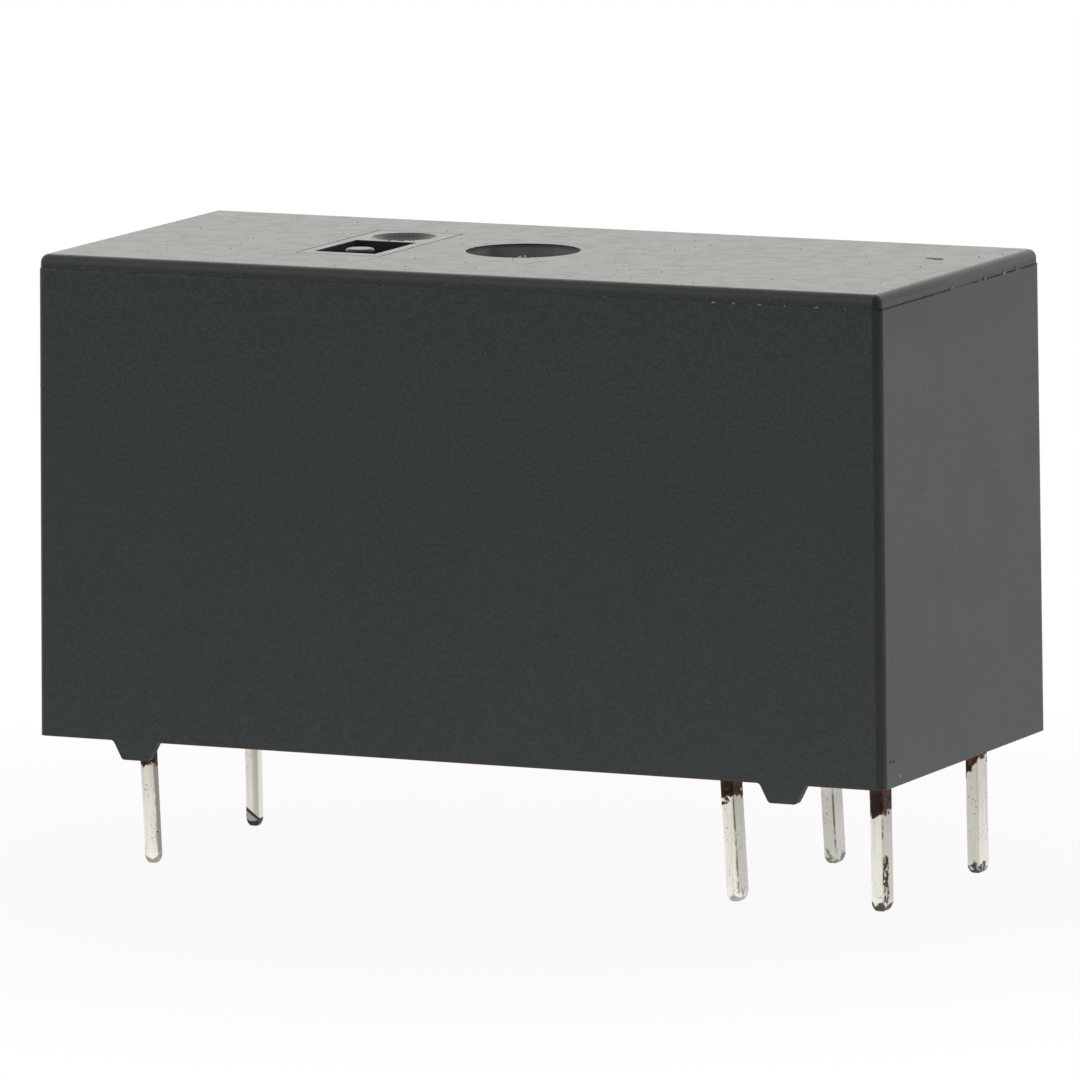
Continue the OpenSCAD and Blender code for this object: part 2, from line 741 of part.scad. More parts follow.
module yoke() {
    color(iron) difference() {
        union() {
            slab_y(2 * yoke_hw) yoke_side();
            span([pole_x, -neck_hw, yoke_z], [winding_x + yoke_t, neck_hw, yoke_top_z]);
            for (x = stud_x) {
                translate([x, 0, yoke_z - hinge_t]) cylinder(d = stud_d, h = hinge_t + yoke_t / 2);
                translate([x, 0, yoke_z - hinge_t - stud_head_h]) cylinder(d = stud_head_d, h = stud_head_h);
            }
        }
        along_x(yoke_x - thin, 0, coil_z) cylinder(d = stake_d, h = yoke_t + 2 * thin);
    }
}

// Armature outline: foot with its notch, shoulders in front of the pole
module armature_outline() {
    foot_hw = neck_hw - iron_gap;
    difference() {
        union() {
            translate([-foot_hw, yoke_z - arm_drop]) square([2 * foot_hw, shoulder_z - yoke_z + 2 * arm_drop]);
            translate([-arm_w / 2, shoulder_z]) square([arm_w, arm_top_z - shoulder_z - flange_r]);
            translate([-arm_w / 2 + flange_r, shoulder_z]) square([arm_w - 2 * flange_r, arm_top_z - shoulder_z]);
            for (sy = [-1, 1])
                translate([sy * (arm_w / 2 - flange_r), arm_top_z - flange_r]) circle(r = flange_r);
        }
        translate([-notch_w / 2, yoke_z - 2 * arm_drop]) square([notch_w, notch_top_z - yoke_z + 2 * arm_drop]);
    }
}

// Drawn closed, then turned open on the yoke's lower edge
module armature() {
    color(iron) translate([hinge_x, 0, yoke_z]) rotate([0, -arm_angle, 0]) translate([-hinge_x, 0, -yoke_z]) {
        slab_x(hinge_x - arm_t, arm_t) armature_outline();
        span([hinge_x - tongue_t, -tongue_w / 2, arm_top_z - arm_t], [hinge_x, tongue_w / 2, tongue_top_z]);
    }
}

// Leaf under the yoke that turns up behind the armature
module hinge_spring_side() {
    low_z = yoke_z - hinge_t;
    bend_r = 2 * hinge_t;
    turn_x = finger_x + bend_r;
    turn_z = low_z + bend_r;
    translate([turn_x, low_z]) square([pole_x + hinge_l - turn_x, hinge_t]);
    translate([finger_x - hinge_t, turn_z + hinge_t]) square([hinge_t, yoke_z + hinge_finger_h - turn_z - hinge_t]);
    intersection() {
        difference() {
            translate([turn_x, turn_z + hinge_t]) circle(r = bend_r + hinge_t);
            translate([turn_x, turn_z + hinge_t]) circle(r = bend_r);
        }
        translate([finger_x - hinge_t, low_z]) square([bend_r + hinge_t, bend_r + hinge_t]);
    }
}

module hinge_spring() {
    color(bronze) difference() {
        slab_y(hinge_w) hinge_spring_side();
        for (x = stud_x)
            translate([x, 0, yoke_z - 2 * hinge_t]) cylinder(d = stud_d, h = 3 * hinge_t);
    }
}

module card_plan() {
    window_l = winding_l - 4 * card_end;
    shoulder_x = card_tip_x - nose_l;
    difference() {
        union() {
            translate([card_left_x, -card_w / 2]) square([shoulder_x - card_left_x, card_w]);
            translate([shoulder_x - nose_l, -nose_w / 2]) square([2 * nose_l - 2 * nose_r, nose_w]);
        }
        translate([slot_left_x, -tongue_w / 2 - slot_play])
            square([slot_right_x - slot_left_x, tongue_w + 2 * slot_play]);
        translate([winding_x + 2 * card_end, -card_window_w / 2]) square([window_l - nose_l, card_window_w]);
    }
}

module card() {
    color(moulded_white) {
        translate([0, 0, card_z]) linear_extrude(card_t) card_plan();
        translate([card_tip_x - nose_r, 0, card_mid_z]) rotate([90, 0, 0])
            cylinder(r = nose_r, h = nose_w, center = true);
        span([card_tip_x - 3 * nose_r, -nose_w / 2, card_mid_z - nose_r],
            [card_tip_x - nose_r, nose_w / 2, card_mid_z + nose_r]);
    }
}

// Two straight legs of a contact terminal, drawn in Y and Z
module legs_outline() {
    for (sy = [-1, 1])
        translate([sy * row_y - contact_pin_w / 2, bend_z]) square([contact_pin_w, floor_z - bend_z]);
}

module contact_pin_ends(x, lean) {
    for (sy = [-1, 1])
        translate([x, sy * row_y, 0]) pin_end(term_t, contact_pin_w, pin_l, lean);
}

// Bores for the two rivets of the contact spring
module rivet_bores(x, long) {
    for (sy = [-1, 1])
        along_x(x, sy * rivet_pitch / 2, rivet_z) cylinder(d = rivet_d, h = long);
}

module common_terminal() {
    color(tin) {
        difference() {
            slab_x(common_x - term_t / 2, term_t) union() {
                legs_outline();
                translate([-plate_w / 2, floor_z]) square([plate_w, common_h]);
            }
            rivet_bores(common_x - term_t, 2 * term_t);
        }
        contact_pin_ends(common_x, common_lean);
    }
}

// Leaf outline: wide root, taper, contact end
module blade_outline() {
    low_z = floor_z + blade_foot_gap;
    top_z = card_mid_z + blade_rise;
    polygon([
        [-blade_root_w / 2, low_z], [blade_root_w / 2, low_z], [blade_root_w / 2, blade_root_z],
        [blade_w / 2, contact_z - contact_d / 2], [blade_w / 2, top_z], [-blade_w / 2, top_z],
        [-blade_w / 2, contact_z - contact_d / 2], [-blade_root_w / 2, blade_root_z]
    ]);
}

module moving_spring() {
    color(bronze) difference() {
        slab_x(blade_x, blade_t) blade_outline();
        rivet_bores(blade_x - blade_t, 3 * blade_t);
        along_x(blade_x - blade_t, 0, contact_z) cylinder(d = shank_d, h = 3 * blade_t);
    }
}

// Contact rivet on +Z: tail below the sheet, shank through it, head above
module contact_rivet(sheet_t, head_t_here, crown) {
    translate([0, 0, -tail_t]) cylinder(d = tail_d, h = tail_t);
    cylinder(d = shank_d, h = sheet_t);
    translate([0, 0, sheet_t]) {
        cylinder(d = contact_d, h = head_t_here);
        if (crown > 0)
            intersection() {
                translate([0, 0, head_t_here + crown - crown_r]) sphere(r = crown_r);
                translate([0, 0, head_t_here - thin]) cylinder(d = contact_d, h = crown + 2 * thin);
            }
    }
}

module moving_contact() {
    color(silver) along_x(blade_x, 0, contact_z) contact_rivet(blade_t, moving_head_t, crown_h);
}

module spring_rivets() {
    grip = blade_t + term_t;
    color(bronze) for (sy = [-1, 1])
        along_x(blade_x, sy * rivet_pitch / 2, rivet_z) {
            translate([0, 0, -rivet_head_t]) cylinder(d = rivet_head_d, h = rivet_head_t);
            cylinder(d = rivet_d, h = grip);
            translate([0, 0, grip]) cylinder(d = rivet_head_d, h = rivet_head_t);
        }
}

// Side view of the fixed terminal: foot, half-right-angle jog and upright part behind the contact
module fixed_side() {
    left_x = fixed_x - term_t / 2;
    right_x = fixed_x + term_t / 2;
    mitre = term_t / 2 * tan(22.5);
    up_z = fixed_bend_z + fixed_jog;
    top_z = contact_z + fixed_rise;
    polygon([
        [left_x, floor_z], [right_x, floor_z], [right_x, fixed_bend_z + mitre],
        [fixed_plate_x + term_t, up_z + mitre], [fixed_plate_x + term_t, top_z], [fixed_plate_x, top_z],
        [fixed_plate_x, up_z - mitre], [left_x, fixed_bend_z - mitre]
    ]);
}

module fixed_terminal() {
    color(tin) {
        difference() {
            union() {
                slab_x(fixed_x - term_t / 2, term_t) union() {
                    legs_outline();
                    translate([-plate_w / 2, floor_z]) square([plate_w, fixed_foot_h - term_t]);
                }
                slab_y(fixed_w) fixed_side();
            }
            along_x(fixed_plate_x - term_t, 0, contact_z) cylinder(d = shank_d, h = 3 * term_t);
        }
        contact_pin_ends(fixed_x, fixed_lean);
    }
}

module fixed_contact() {
    color(silver) translate([fixed_plate_x + term_t, 0, contact_z]) rotate([0, -90, 0])
        contact_rivet(term_t, fixed_head_t, 0);
}

cover();
base();
sealing_resin();
bobbin();
coil_winding();
coil_tape();
coil_lead_front();
coil_lead_back();
coil_terminal_front();
coil_terminal_back();
core();
yoke();
armature();
hinge_spring();
card();
common_terminal();
moving_spring();
moving_contact();
spring_rivets();
fixed_terminal();
fixed_contact();
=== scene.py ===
"""Looks of a low power relay for circuit boards: finishes, mould marks, flux and dust."""
import functools
import json
import math
import bmesh
import bpy
from mathutils import Matrix, Vector, noise

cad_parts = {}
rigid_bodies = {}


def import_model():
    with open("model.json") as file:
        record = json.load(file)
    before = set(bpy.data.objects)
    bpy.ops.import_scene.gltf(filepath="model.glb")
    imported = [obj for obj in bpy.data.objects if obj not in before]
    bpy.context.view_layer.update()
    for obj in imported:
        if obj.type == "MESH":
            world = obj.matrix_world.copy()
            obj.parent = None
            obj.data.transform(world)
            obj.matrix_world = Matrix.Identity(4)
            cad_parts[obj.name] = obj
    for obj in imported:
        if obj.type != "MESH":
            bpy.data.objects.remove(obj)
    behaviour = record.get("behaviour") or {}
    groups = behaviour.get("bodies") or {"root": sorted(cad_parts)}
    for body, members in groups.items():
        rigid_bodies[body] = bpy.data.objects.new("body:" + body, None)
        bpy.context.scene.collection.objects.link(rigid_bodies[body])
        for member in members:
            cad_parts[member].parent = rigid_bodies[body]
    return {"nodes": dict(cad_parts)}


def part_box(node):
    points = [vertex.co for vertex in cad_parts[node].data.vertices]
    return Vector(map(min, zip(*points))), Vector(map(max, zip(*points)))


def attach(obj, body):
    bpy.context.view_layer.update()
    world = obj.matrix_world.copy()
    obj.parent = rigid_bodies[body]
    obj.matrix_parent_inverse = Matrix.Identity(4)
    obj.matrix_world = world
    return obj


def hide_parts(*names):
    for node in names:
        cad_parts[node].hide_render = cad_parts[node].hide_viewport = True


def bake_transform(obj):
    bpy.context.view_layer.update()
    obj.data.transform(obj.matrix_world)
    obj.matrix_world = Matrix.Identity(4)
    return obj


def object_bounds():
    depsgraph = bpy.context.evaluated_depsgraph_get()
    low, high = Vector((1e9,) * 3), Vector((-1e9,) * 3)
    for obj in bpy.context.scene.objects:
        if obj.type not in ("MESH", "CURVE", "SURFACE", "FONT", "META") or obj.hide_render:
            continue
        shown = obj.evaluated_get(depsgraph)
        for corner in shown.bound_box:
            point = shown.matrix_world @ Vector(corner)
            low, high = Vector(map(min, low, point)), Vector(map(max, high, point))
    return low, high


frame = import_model()
cad_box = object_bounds()

MM = 0.001
PER_M = 1000.0

# View of the photograph: turn, height and roll in degrees, distance and aim in metres, lens in millimetres
VIEW_TURN = 24.9709
VIEW_HEIGHT = 8.3137
VIEW_ROLL = -0.5081
VIEW_DISTANCE = 411.42 * MM
VIEW_AIM = Vector((-0.0125, 0.0, 6.6941)) * MM
VIEW_LENS = 438.2125

# Level direction from the part to the camera
VIEW_WAY = (math.sin(math.radians(VIEW_TURN)), -math.cos(math.radians(VIEW_TURN)))

# Light by direction: two limits of the direction's share, and the level at each, where 1 is white
LIGHT_BEHIND = (-0.97, -0.60, 1.15, 0.745)
LIGHT_IN_FRONT = (-0.30, 0.90, 1.00, 0.22)
LIGHT_ABOVE = (0.30, 0.90, 1.00, 0.80)
LIGHT_TINT = (1.0, 1.0, 0.95, 1.0)
PLAIN_WHITE = (1.0, 1.0, 1.0, 1.0)

# Floor: radius in metres, then limits in millimetres and the shares there
FLOOR_RADIUS = 0.16
FLOOR_SHARE = (14.0, 40.0, 0.93, 1.0)
FLOOR_DIMS = (20.0, 32.0)
FLOOR_LOSS = (15.0, 100.0, 0.335, 0.20)

# Case, in millimetres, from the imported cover
CASE_LOW, CASE_HIGH = [corner * PER_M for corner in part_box("cover")]
ROOF_Z = CASE_HIGH.z
RIM_Z = CASE_LOW.z + 0.6
DRAFT = 0.115
EDGE_R = 0.28
PARTING_Z = ROOF_Z - 0.45
PARTING_INSET = 0.13
RESIN_Z = RIM_Z + 0.2
FOOT_X = CASE_HIGH.x - 3.39
FOOT_REACH = 0.75

# Roof recesses, in millimetres
GATE = (-0.5, 0.0, 1.8)
DIMPLE = (-5.52, 1.9, 1.025)
POCKET = (-5.52, -0.92, 1.05, 1.525)
INSERT = (-5.52, 0.1, 1.45, 3.05)
NIB = (-5.52, -1.32, 0.46)
GATE_DEPTH = 0.6
DIMPLE_DEPTH = 0.3

# Parts round a turned or sleeved piece
AROUND = 40

# Height of the contact leaf's clamped root, in millimetres
LEAF_ROOT_Z = 5.5

# Torn bits, dark marks, and dark flakes as the painted shade of dents, in millimetres: place along and up a
# wall, or on the roof, and half sizes
PALE_ON_END = ((-5.15, 0.88, 0.11, 0.09), (-0.71, PARTING_Z, 0.11, 0.08), (1.92, PARTING_Z, 0.12, 0.08),
               (3.43, PARTING_Z, 0.13, 0.06), (4.43, PARTING_Z, 0.08, 0.09))
DARK_ON_END = ((-5.85, 1.42, 0.10, 0.04), (-5.62, 1.40, 0.06, 0.05))
PALE_ON_FRONT = ((8.82, 0.06), (9.50, 0.05), (10.36, 0.08), (11.20, 0.04), (12.25, 0.09), (13.20, 0.05))
DENT_SHADE_ON_ROOF = ((12.46, 2.63, 0.15, 0.15), (12.18, 2.70, 0.18, 0.07))
SLIVERS_ON_GATE = ((VIEW_TURN - 4.1, 0.34, 0.050), (VIEW_TURN + 2.5, 0.44, 0.035))
NICK_DEPTH = 0.03

# Pins, in millimetres and degrees
ROW_Y = 3.75
FIXED_X = CASE_HIGH.x - 1.27
COMMON_X = FIXED_X - 5.04
COIL_X = CASE_LOW.x + 2.49
BEND_Z = RESIN_Z - 0.1
TIP_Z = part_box("common_terminal")[0].z * PER_M
CONTACT_PIN = (0.43, 0.8)
COIL_PIN = (0.5, 0.32)
CUT_SLOPE = 0.19
STREAK_Z = -2.55

# Painted shade: a dark tone laid on the rounded edges and on the sides of the feet
EDGE_AND_FOOT_SHADE = (0.014, 0.017, 0.018)


class Pin:
    """One pin below the resin: place, half sizes, lean, the marks of soldering and wear on it, and the
    painted shade of its faces.
    """

    def __init__(self, x, side, size, lean, stain=9.0, slope=0.0, line=(9.0, 9.0), streak=0.0,
                 grey=0.0, shade=0.0, tip=0.85, cut=0.0, bare=0.0):
        self.x = x
        self.y = side * ROW_Y
        self.half = (size[0] / 2, size[1] / 2)
        self.lean = math.tan(math.radians(lean))
        self.stain = stain
        self.slope = slope
        self.line = line
        self.streak = streak
        self.grey = grey
        self.shade = shade
        self.tip = tip
        self.cut = cut
        self.bare = bare

    def middle(self, z):
        return Vector((self.x + self.lean * max(0.0, BEND_Z - z), self.y, z))


PINS = {
    "coil_front": Pin(COIL_X, -1, COIL_PIN, 2.3, stain=-0.58, line=(-0.5, -3.3),
                      shade=0.7, tip=0.0, cut=0.36),
    "coil_back": Pin(COIL_X, 1, COIL_PIN, 0.5, grey=0.25, shade=1.0, tip=0.0, cut=0.30, bare=1.0),
    "common_front": Pin(COMMON_X, -1, CONTACT_PIN, 3.2, stain=-0.40, slope=0.06,
                        line=(-0.4, -3.3), tip=0.4),
    "common_back": Pin(COMMON_X, 1, CONTACT_PIN, 3.2, line=(0.2, -3.2), grey=0.8, tip=0.5),
    "fixed_front": Pin(FIXED_X, -1, CONTACT_PIN, 0.9, stain=-0.62, slope=0.04,
                       line=(-0.6, -1.4), streak=1.0),
    "fixed_back": Pin(FIXED_X, 1, CONTACT_PIN, 0.9, stain=-0.30, slope=0.30, grey=0.2),
}


class Field:
    """One value in a material, on which arithmetic makes Math nodes."""

    def __init__(self, tree, socket):
        self.tree = tree
        self.socket = socket

    def math(self, operation, other=None):
        node = self.tree.nodes.new("ShaderNodeMath")
        node.operation = operation
        feed(self.tree, node.inputs[0], self)
        if other is not None:
            feed(self.tree, node.inputs[1], other)
        return Field(self.tree, node.outputs[0])

    def __add__(self, other):
        return self.math("ADD", other)

    def __sub__(self, other):
        return self.math("SUBTRACT", other)

    def __mul__(self, other):
        return self.math("MULTIPLY", other)

    def __abs__(self):
        return self.math("ABSOLUTE")

    def either(self, other):
        return self.math("MAXIMUM", other)

    def inverse(self):
        return self * -1.0 + 1.0


def feed(tree, socket, value):
    """Links a field or socket, or sets a plain number, vector or colour."""
    if isinstance(value, Field):
        tree.links.new(value.socket, socket)
    elif isinstance(value, bpy.types.NodeSocket):
        tree.links.new(value, socket)
    else:
        socket.default_value = value


def smooth_step(tree, value, low, high, at_low, at_high):
    """Smooth step of a value between two limits."""
    made = tree.nodes.new("ShaderNodeMapRange")
    made.interpolation_type = "SMOOTHSTEP"
    feed(tree, made.inputs["Value"], value)
    for socket, number in (("From Min", low), ("From Max", high), ("To Min", at_low), ("To Max", at_high)):
        made.inputs[socket].default_value = number
    return Field(tree, made.outputs[0])


class Finish:
    """A material in the making, with its shader and the surface's place in millimetres."""

    def __init__(self, name):
        self.material = bpy.data.materials.new(name)
        self.material.use_nodes = True
        self.tree = self.material.node_tree
        self.shader = self.tree.nodes["Principled BSDF"]
        place = self.node("ShaderNodeTexCoord").outputs["Object"]
        scaled = self.node("ShaderNodeVectorMath", operation="SCALE")
        self.tree.links.new(place, scaled.inputs[0])
        scaled.inputs["Scale"].default_value = PER_M
        self.place = scaled.outputs[0]
        split = self.node("ShaderNodeSeparateXYZ")
        self.tree.links.new(self.place, split.inputs[0])
        self.x, self.y, self.z = [Field(self.tree, axis) for axis in split.outputs]

    def node(self, kind, **settings):
        made = self.tree.nodes.new(kind)
        for name, value in settings.items():
            setattr(made, name, value)
        return made

    def noise(self, scale, detail=2.0, stretch=(1, 1, 1), start=(0, 0, 0)):
        """Soft noise from 0 to 1, with that many grains to a millimetre."""
        mapping = self.node("ShaderNodeMapping")
        self.tree.links.new(self.place, mapping.inputs["Vector"])
        mapping.inputs["Scale"].default_value = stretch
        mapping.inputs["Location"].default_value = start
        made = self.node("ShaderNodeTexNoise")
        self.tree.links.new(mapping.outputs[0], made.inputs["Vector"])
        made.inputs["Scale"].default_value = scale
        made.inputs["Detail"].default_value = detail
        return Field(self.tree, made.outputs[0])

    def ramp(self, value, low, high, at_low=0.0, at_high=1.0):
        """Smooth step of a value, from 0 to 1 where nothing else is said."""
        return smooth_step(self.tree, value, low, high, at_low, at_high)

    def near(self, value, middle, reach):
        """1 at the middle, 0 past the reach on either side."""
        return self.ramp(abs(value - middle), 0.0, reach, 1.0, 0.0)

    def mix(self, share, first, second):
        """Colour between two, by a share."""
        made = self.node("ShaderNodeMix", data_type="RGBA")
        feed(self.tree, made.inputs[0], share)
        for socket, colour in ((made.inputs[6], first), (made.inputs[7], second)):
            feed(self.tree, socket, colour if isinstance(colour, bpy.types.NodeSocket) else (*colour, 1.0))
        return made.outputs[2]

    def set(self, socket, value):
        if socket == "Base Color" and isinstance(value, tuple):
            value = (*value, 1.0)
        feed(self.tree, self.shader.inputs[socket], value)

    def bump(self, height, depth):
        """Relief of that depth in millimetres from a field."""
        made = self.node("ShaderNodeBump")
        feed(self.tree, made.inputs["Height"], height)
        made.inputs["Distance"].default_value = depth * MM
        made.inputs["Strength"].default_value = 1.0
        self.tree.links.new(made.outputs[0], self.shader.inputs["Normal"])


def case_faces(f):
    """Masks of the case: ends, painted shade on the rounded edges, a painted highlight on the shoulder
    under the roof, and the roof.
    """
    inset = (f.z - RIM_Z) * (DRAFT / (ROOF_Z - RIM_Z))
    out_x = abs(f.x) + inset
    out_y = abs(f.y) + inset
    turn_x = f.ramp(out_x, CASE_HIGH.x - EDGE_R, CASE_HIGH.x - 0.8 * EDGE_R)
    turn_y = f.ramp(out_y, CASE_HIGH.y - EDGE_R, CASE_HIGH.y - 0.8 * EDGE_R)
    turn_z = f.ramp(f.z, ROOF_Z - 0.75 * EDGE_R, ROOF_Z - 0.45 * EDGE_R)
    end = f.ramp(out_x, CASE_HIGH.x - 0.12, CASE_HIGH.x - 0.04)
    # Painted shade along the rounded upright edges, half as strong along the ends' roof edge
    edge = (turn_x * turn_y).either(turn_z * turn_x * 0.5)
    # Painted highlight: a pale band just under the roof's rounded edge, on the long sides
    shoulder = f.near(f.z, ROOF_Z - 0.68 * EDGE_R, 0.42 * EDGE_R) * turn_y * turn_x.inverse()
    roof = f.ramp(f.z, ROOF_Z - 0.03, ROOF_Z - 0.01)
    return end, edge, shoulder, roof


def in_round(f, place, reach=0.0):
    """1 inside a round recess of the roof."""
    x, y, radius = place
    away = ((f.x - x) * (f.x - x) + (f.y - y) * (f.y - y)).math("SQRT")
    return f.ramp(away, radius + reach - 0.02, radius + reach + 0.02, 1.0, 0.0)


def in_block(f, place):
    """1 inside an upright rectangle of the roof."""
    x, y, half_x, half_y = place
    along = f.ramp(abs(f.x - x), half_x - 0.02, half_x + 0.02, 1.0, 0.0)
    return along * f.ramp(abs(f.y - y), half_y - 0.02, half_y + 0.02, 1.0, 0.0)


def gate_painted_light(f):
    """Painted light on the round recess's wall: pale grey for the light it catches, with faint upright
    lines, and painted shade darkening its top and sides.
    """
    lines = f.noise(1.0, 2.0, stretch=(5.0, 5.0, 0.1))
    # Painted light: a pale grey far above the plastic's own charcoal
    dull = f.mix(f.ramp(lines, 0.3, 0.7), (0.400, 0.408, 0.425), (0.480, 0.490, 0.505))
    smear = (f.noise(0.8, 3.0, start=(0, 2, 5)) - 0.5) * 1.6
    aside = abs(f.x - GATE[0])
    # Painted shade towards the sides and under the rim
    sides = f.ramp(aside + smear, 0.45 * GATE[2], 0.97 * GATE[2])
    sides = sides * f.ramp(aside, 0.80 * GATE[2], 0.93 * GATE[2], 1.0, 0.1)
    top = f.ramp(f.z, ROOF_Z - 0.20, ROOF_Z - 0.03)
    return f.mix(sides.either(top) * 0.75, dull, (0.085, 0.09, 0.10))


def gate_lit_wall_mask(f):
    """Where the round recess gets its painted light: 1 on the wall away from the camera, little on its
    floor, none on the near wall.
    """
    wall = f.ramp(f.z, ROOF_Z - GATE_DEPTH + 0.01, ROOF_Z - GATE_DEPTH + 0.04, 0.2, 1.0)
    nearer = (f.x - GATE[0]) * VIEW_WAY[0] + (f.y - GATE[1]) * VIEW_WAY[1]
    return wall * f.ramp(nearer, 0.10 * GATE[2], 0.40 * GATE[2], 1.0, 0.0)


def recess_light_and_shade(f, colour):
    """Inside of the recesses, as painted light: a pale grey lit far wall in the round one, and a bluish
    painted reflection in the dimple and in the pocket.
    """
    below = f.ramp(f.z, ROOF_Z - 0.06, ROOF_Z - 0.02, 1.0, 0.0) * f.ramp(f.z, ROOF_Z - 0.8, ROOF_Z - 0.75)
    colour = f.mix(in_round(f, GATE, 0.04) * below * gate_lit_wall_mask(f), colour, gate_painted_light(f))
    # Painted reflection: bluish grey in the dimple and in the pocket
    colour = f.mix(in_round(f, DIMPLE, 0.04) * below, colour, (0.062, 0.066, 0.084))
    return f.mix(in_block(f, POCKET) * below, colour, (0.070, 0.066, 0.090))


def parting_masks(f, end):
    """Parting line: dark and broken on the ends, pale and fading on the long sides."""
    torn = f.noise(1.5, 3.0, start=(4, 1, 0))
    near_end = f.ramp(f.y, -2.4, -1.0, 1.0, 0.0)
    dark = f.near(f.z, PARTING_Z - 0.01, 0.05) * f.ramp(torn, 0.46, 0.54).either(near_end) * end
    fading = f.ramp(f.x, -12.0, 12.0, 0.6, 0.06) * f.ramp(torn, 0.36, 0.50)
    return dark, f.near(f.z, PARTING_Z - 0.01, 0.035) * fading * end.inverse()


def rim_tint(f, colour):
    """Thin brown line of flux along the lower edge of the walls and the feet."""
    wander = f.noise(1.3, 2.0) * 0.06
    wall = f.near(f.z + wander, RIM_Z + 0.045, 0.055)
    beside_foot = f.ramp(abs(abs(f.x) - FOOT_X), FOOT_REACH - 0.05, FOOT_REACH + 0.05)
    foot = f.ramp(f.z + wander, 0.06, 0.09, 1.0, 0.0)
    far_x = f.ramp(abs(f.x), CASE_HIGH.x - 0.16, CASE_HIGH.x - 0.08)
    far_y = f.ramp(abs(f.y), CASE_HIGH.y - 0.16, CASE_HIGH.y - 0.08)
    line = (wall * beside_foot).either(foot) * far_x.either(far_y)
    return f.mix(line * 0.9, colour, (0.15, 0.070, 0.038))


def foot_side_shade(f):
    """1 on the sides of the feet, behind their outer faces, where shade is painted."""
    behind_face = f.ramp(abs(f.y), CASE_HIGH.y - 0.015, CASE_HIGH.y - 0.003, 1.0, 0.0)
    return f.ramp(f.z, RIM_Z - 0.04, RIM_Z, 1.0, 0.0) * behind_face


def moulded_tone(f, grain):
    """Charcoal with soft clouds and a fine pale grain."""
    cloud = f.noise(0.16, 3.0)
    colour = f.mix(f.ramp(cloud, 0.3, 0.7), (0.046, 0.061, 0.062), (0.048, 0.066, 0.069))
    return f.mix(f.ramp(grain, 0.35, 0.75), colour, (0.078, 0.093, 0.096))


def end_tone(f, colour, end, drag, blotch):
    """Drag marks and blotches of the ends."""
    lower = f.ramp(f.z, 8.0, 15.0, 1.0, 0.55)
    colour = f.mix(f.ramp(drag, 0.35, 0.7) * end * lower, colour, (0.074, 0.085, 0.085))
    return f.mix(f.ramp(blotch, 0.40, 0.65) * end * 0.3, colour, (0.046, 0.060, 0.064))


def case_plastic():
    """Charcoal moulding: grained faces, smooth dark edges, marked ends and a parting line."""
    f = Finish("case_plastic")
    end, edge, shoulder, roof = case_faces(f)
    dark_line, pale_line = parting_masks(f, end)
    foot_shade = foot_side_shade(f)
    grain = f.noise(9.0, 3.0)
    drag = f.noise(1.0, 4.0, stretch=(1.0, 1.5, 0.05))
    blotch = f.noise(0.45, 3.0, start=(6, 0, 3))
    colour = end_tone(f, moulded_tone(f, grain), end, drag, blotch)
    # Painted shade on the rounded edges
    colour = f.mix(edge * 0.65, colour, EDGE_AND_FOOT_SHADE)
    # Painted highlight on the shoulder
    colour = f.mix(shoulder, colour, (0.115, 0.126, 0.132))
    colour = f.mix(pale_line, colour, (0.17, 0.16, 0.14))
    colour = f.mix(dark_line * 0.8, colour, (0.004, 0.004, 0.004))
    # Painted shade on the sides of the feet, laid over the recess tones
    colour = f.mix(foot_shade, recess_light_and_shade(f, colour), EDGE_AND_FOOT_SHADE)
    f.set("Base Color", rim_tint(f, colour))
    mottle = f.ramp(f.noise(1.6, 4.0), 0.35, 0.7)
    frame_pale = in_block(f, INSERT) * 0.025
    rough = f.ramp(grain, 0.2, 0.8, 0.26, 0.36) * (roof * -0.6 + 1.0)
    f.set("Roughness", rough + roof * (mottle * 0.035 - frame_pale + 0.12))
    uneven = f.ramp(f.z, 13.0, 15.2) * 0.12 + (drag + blotch - 1.0) * 0.16
    # Less gloss on the dark parting line and the ends, and on the sides of the feet to keep their painted
    # shade dark
    dull = (dark_line * 0.3).either(foot_shade * 0.465) + end * uneven
    f.set("Specular IOR Level", dull * -1.0 + 0.5)
    f.set("IOR", 1.5)
    f.bump(grain * edge.inverse() * (end * -0.5 - roof * 0.7 + 1.0), 0.007)
    return f.material


def plain_moulding(name, pale, deep, roughness=0.5):
    """Moulded plastic of one colour with a fine grain and faint flow marks."""
    f = Finish(name)
    flow = f.noise(0.35, 4.0, stretch=(0.5, 1.0, 1.6))
    grain = f.noise(9.0)
    colour = f.mix(f.ramp(flow, 0.3, 0.7), deep, pale)
    f.set("Base Color", f.mix(f.ramp(grain, 0.5, 0.8) * 0.25, colour, deep))
    f.set("Roughness", f.ramp(grain, 0.2, 0.8, roughness - 0.07, roughness + 0.07))
    f.bump(grain, 0.006)
    return f.material


def cast_resin():
    """Poured black resin with a skin that waves and carries dust."""
    f = Finish("cast_resin")
    wave = f.noise(0.5, 2.0)
    dust = f.ramp(f.noise(16.0, 2.0), 0.66, 0.74)
    colour = f.mix(f.ramp(wave, 0.3, 0.7), (0.010, 0.010, 0.011), (0.020, 0.019, 0.019))
    f.set("Base Color", f.mix(dust * 0.4, colour, (0.12, 0.11, 0.10)))
    f.set("Roughness", f.ramp(wave, 0.3, 0.7, 0.24, 0.36))
    f.bump(wave, 0.12)
    return f.material


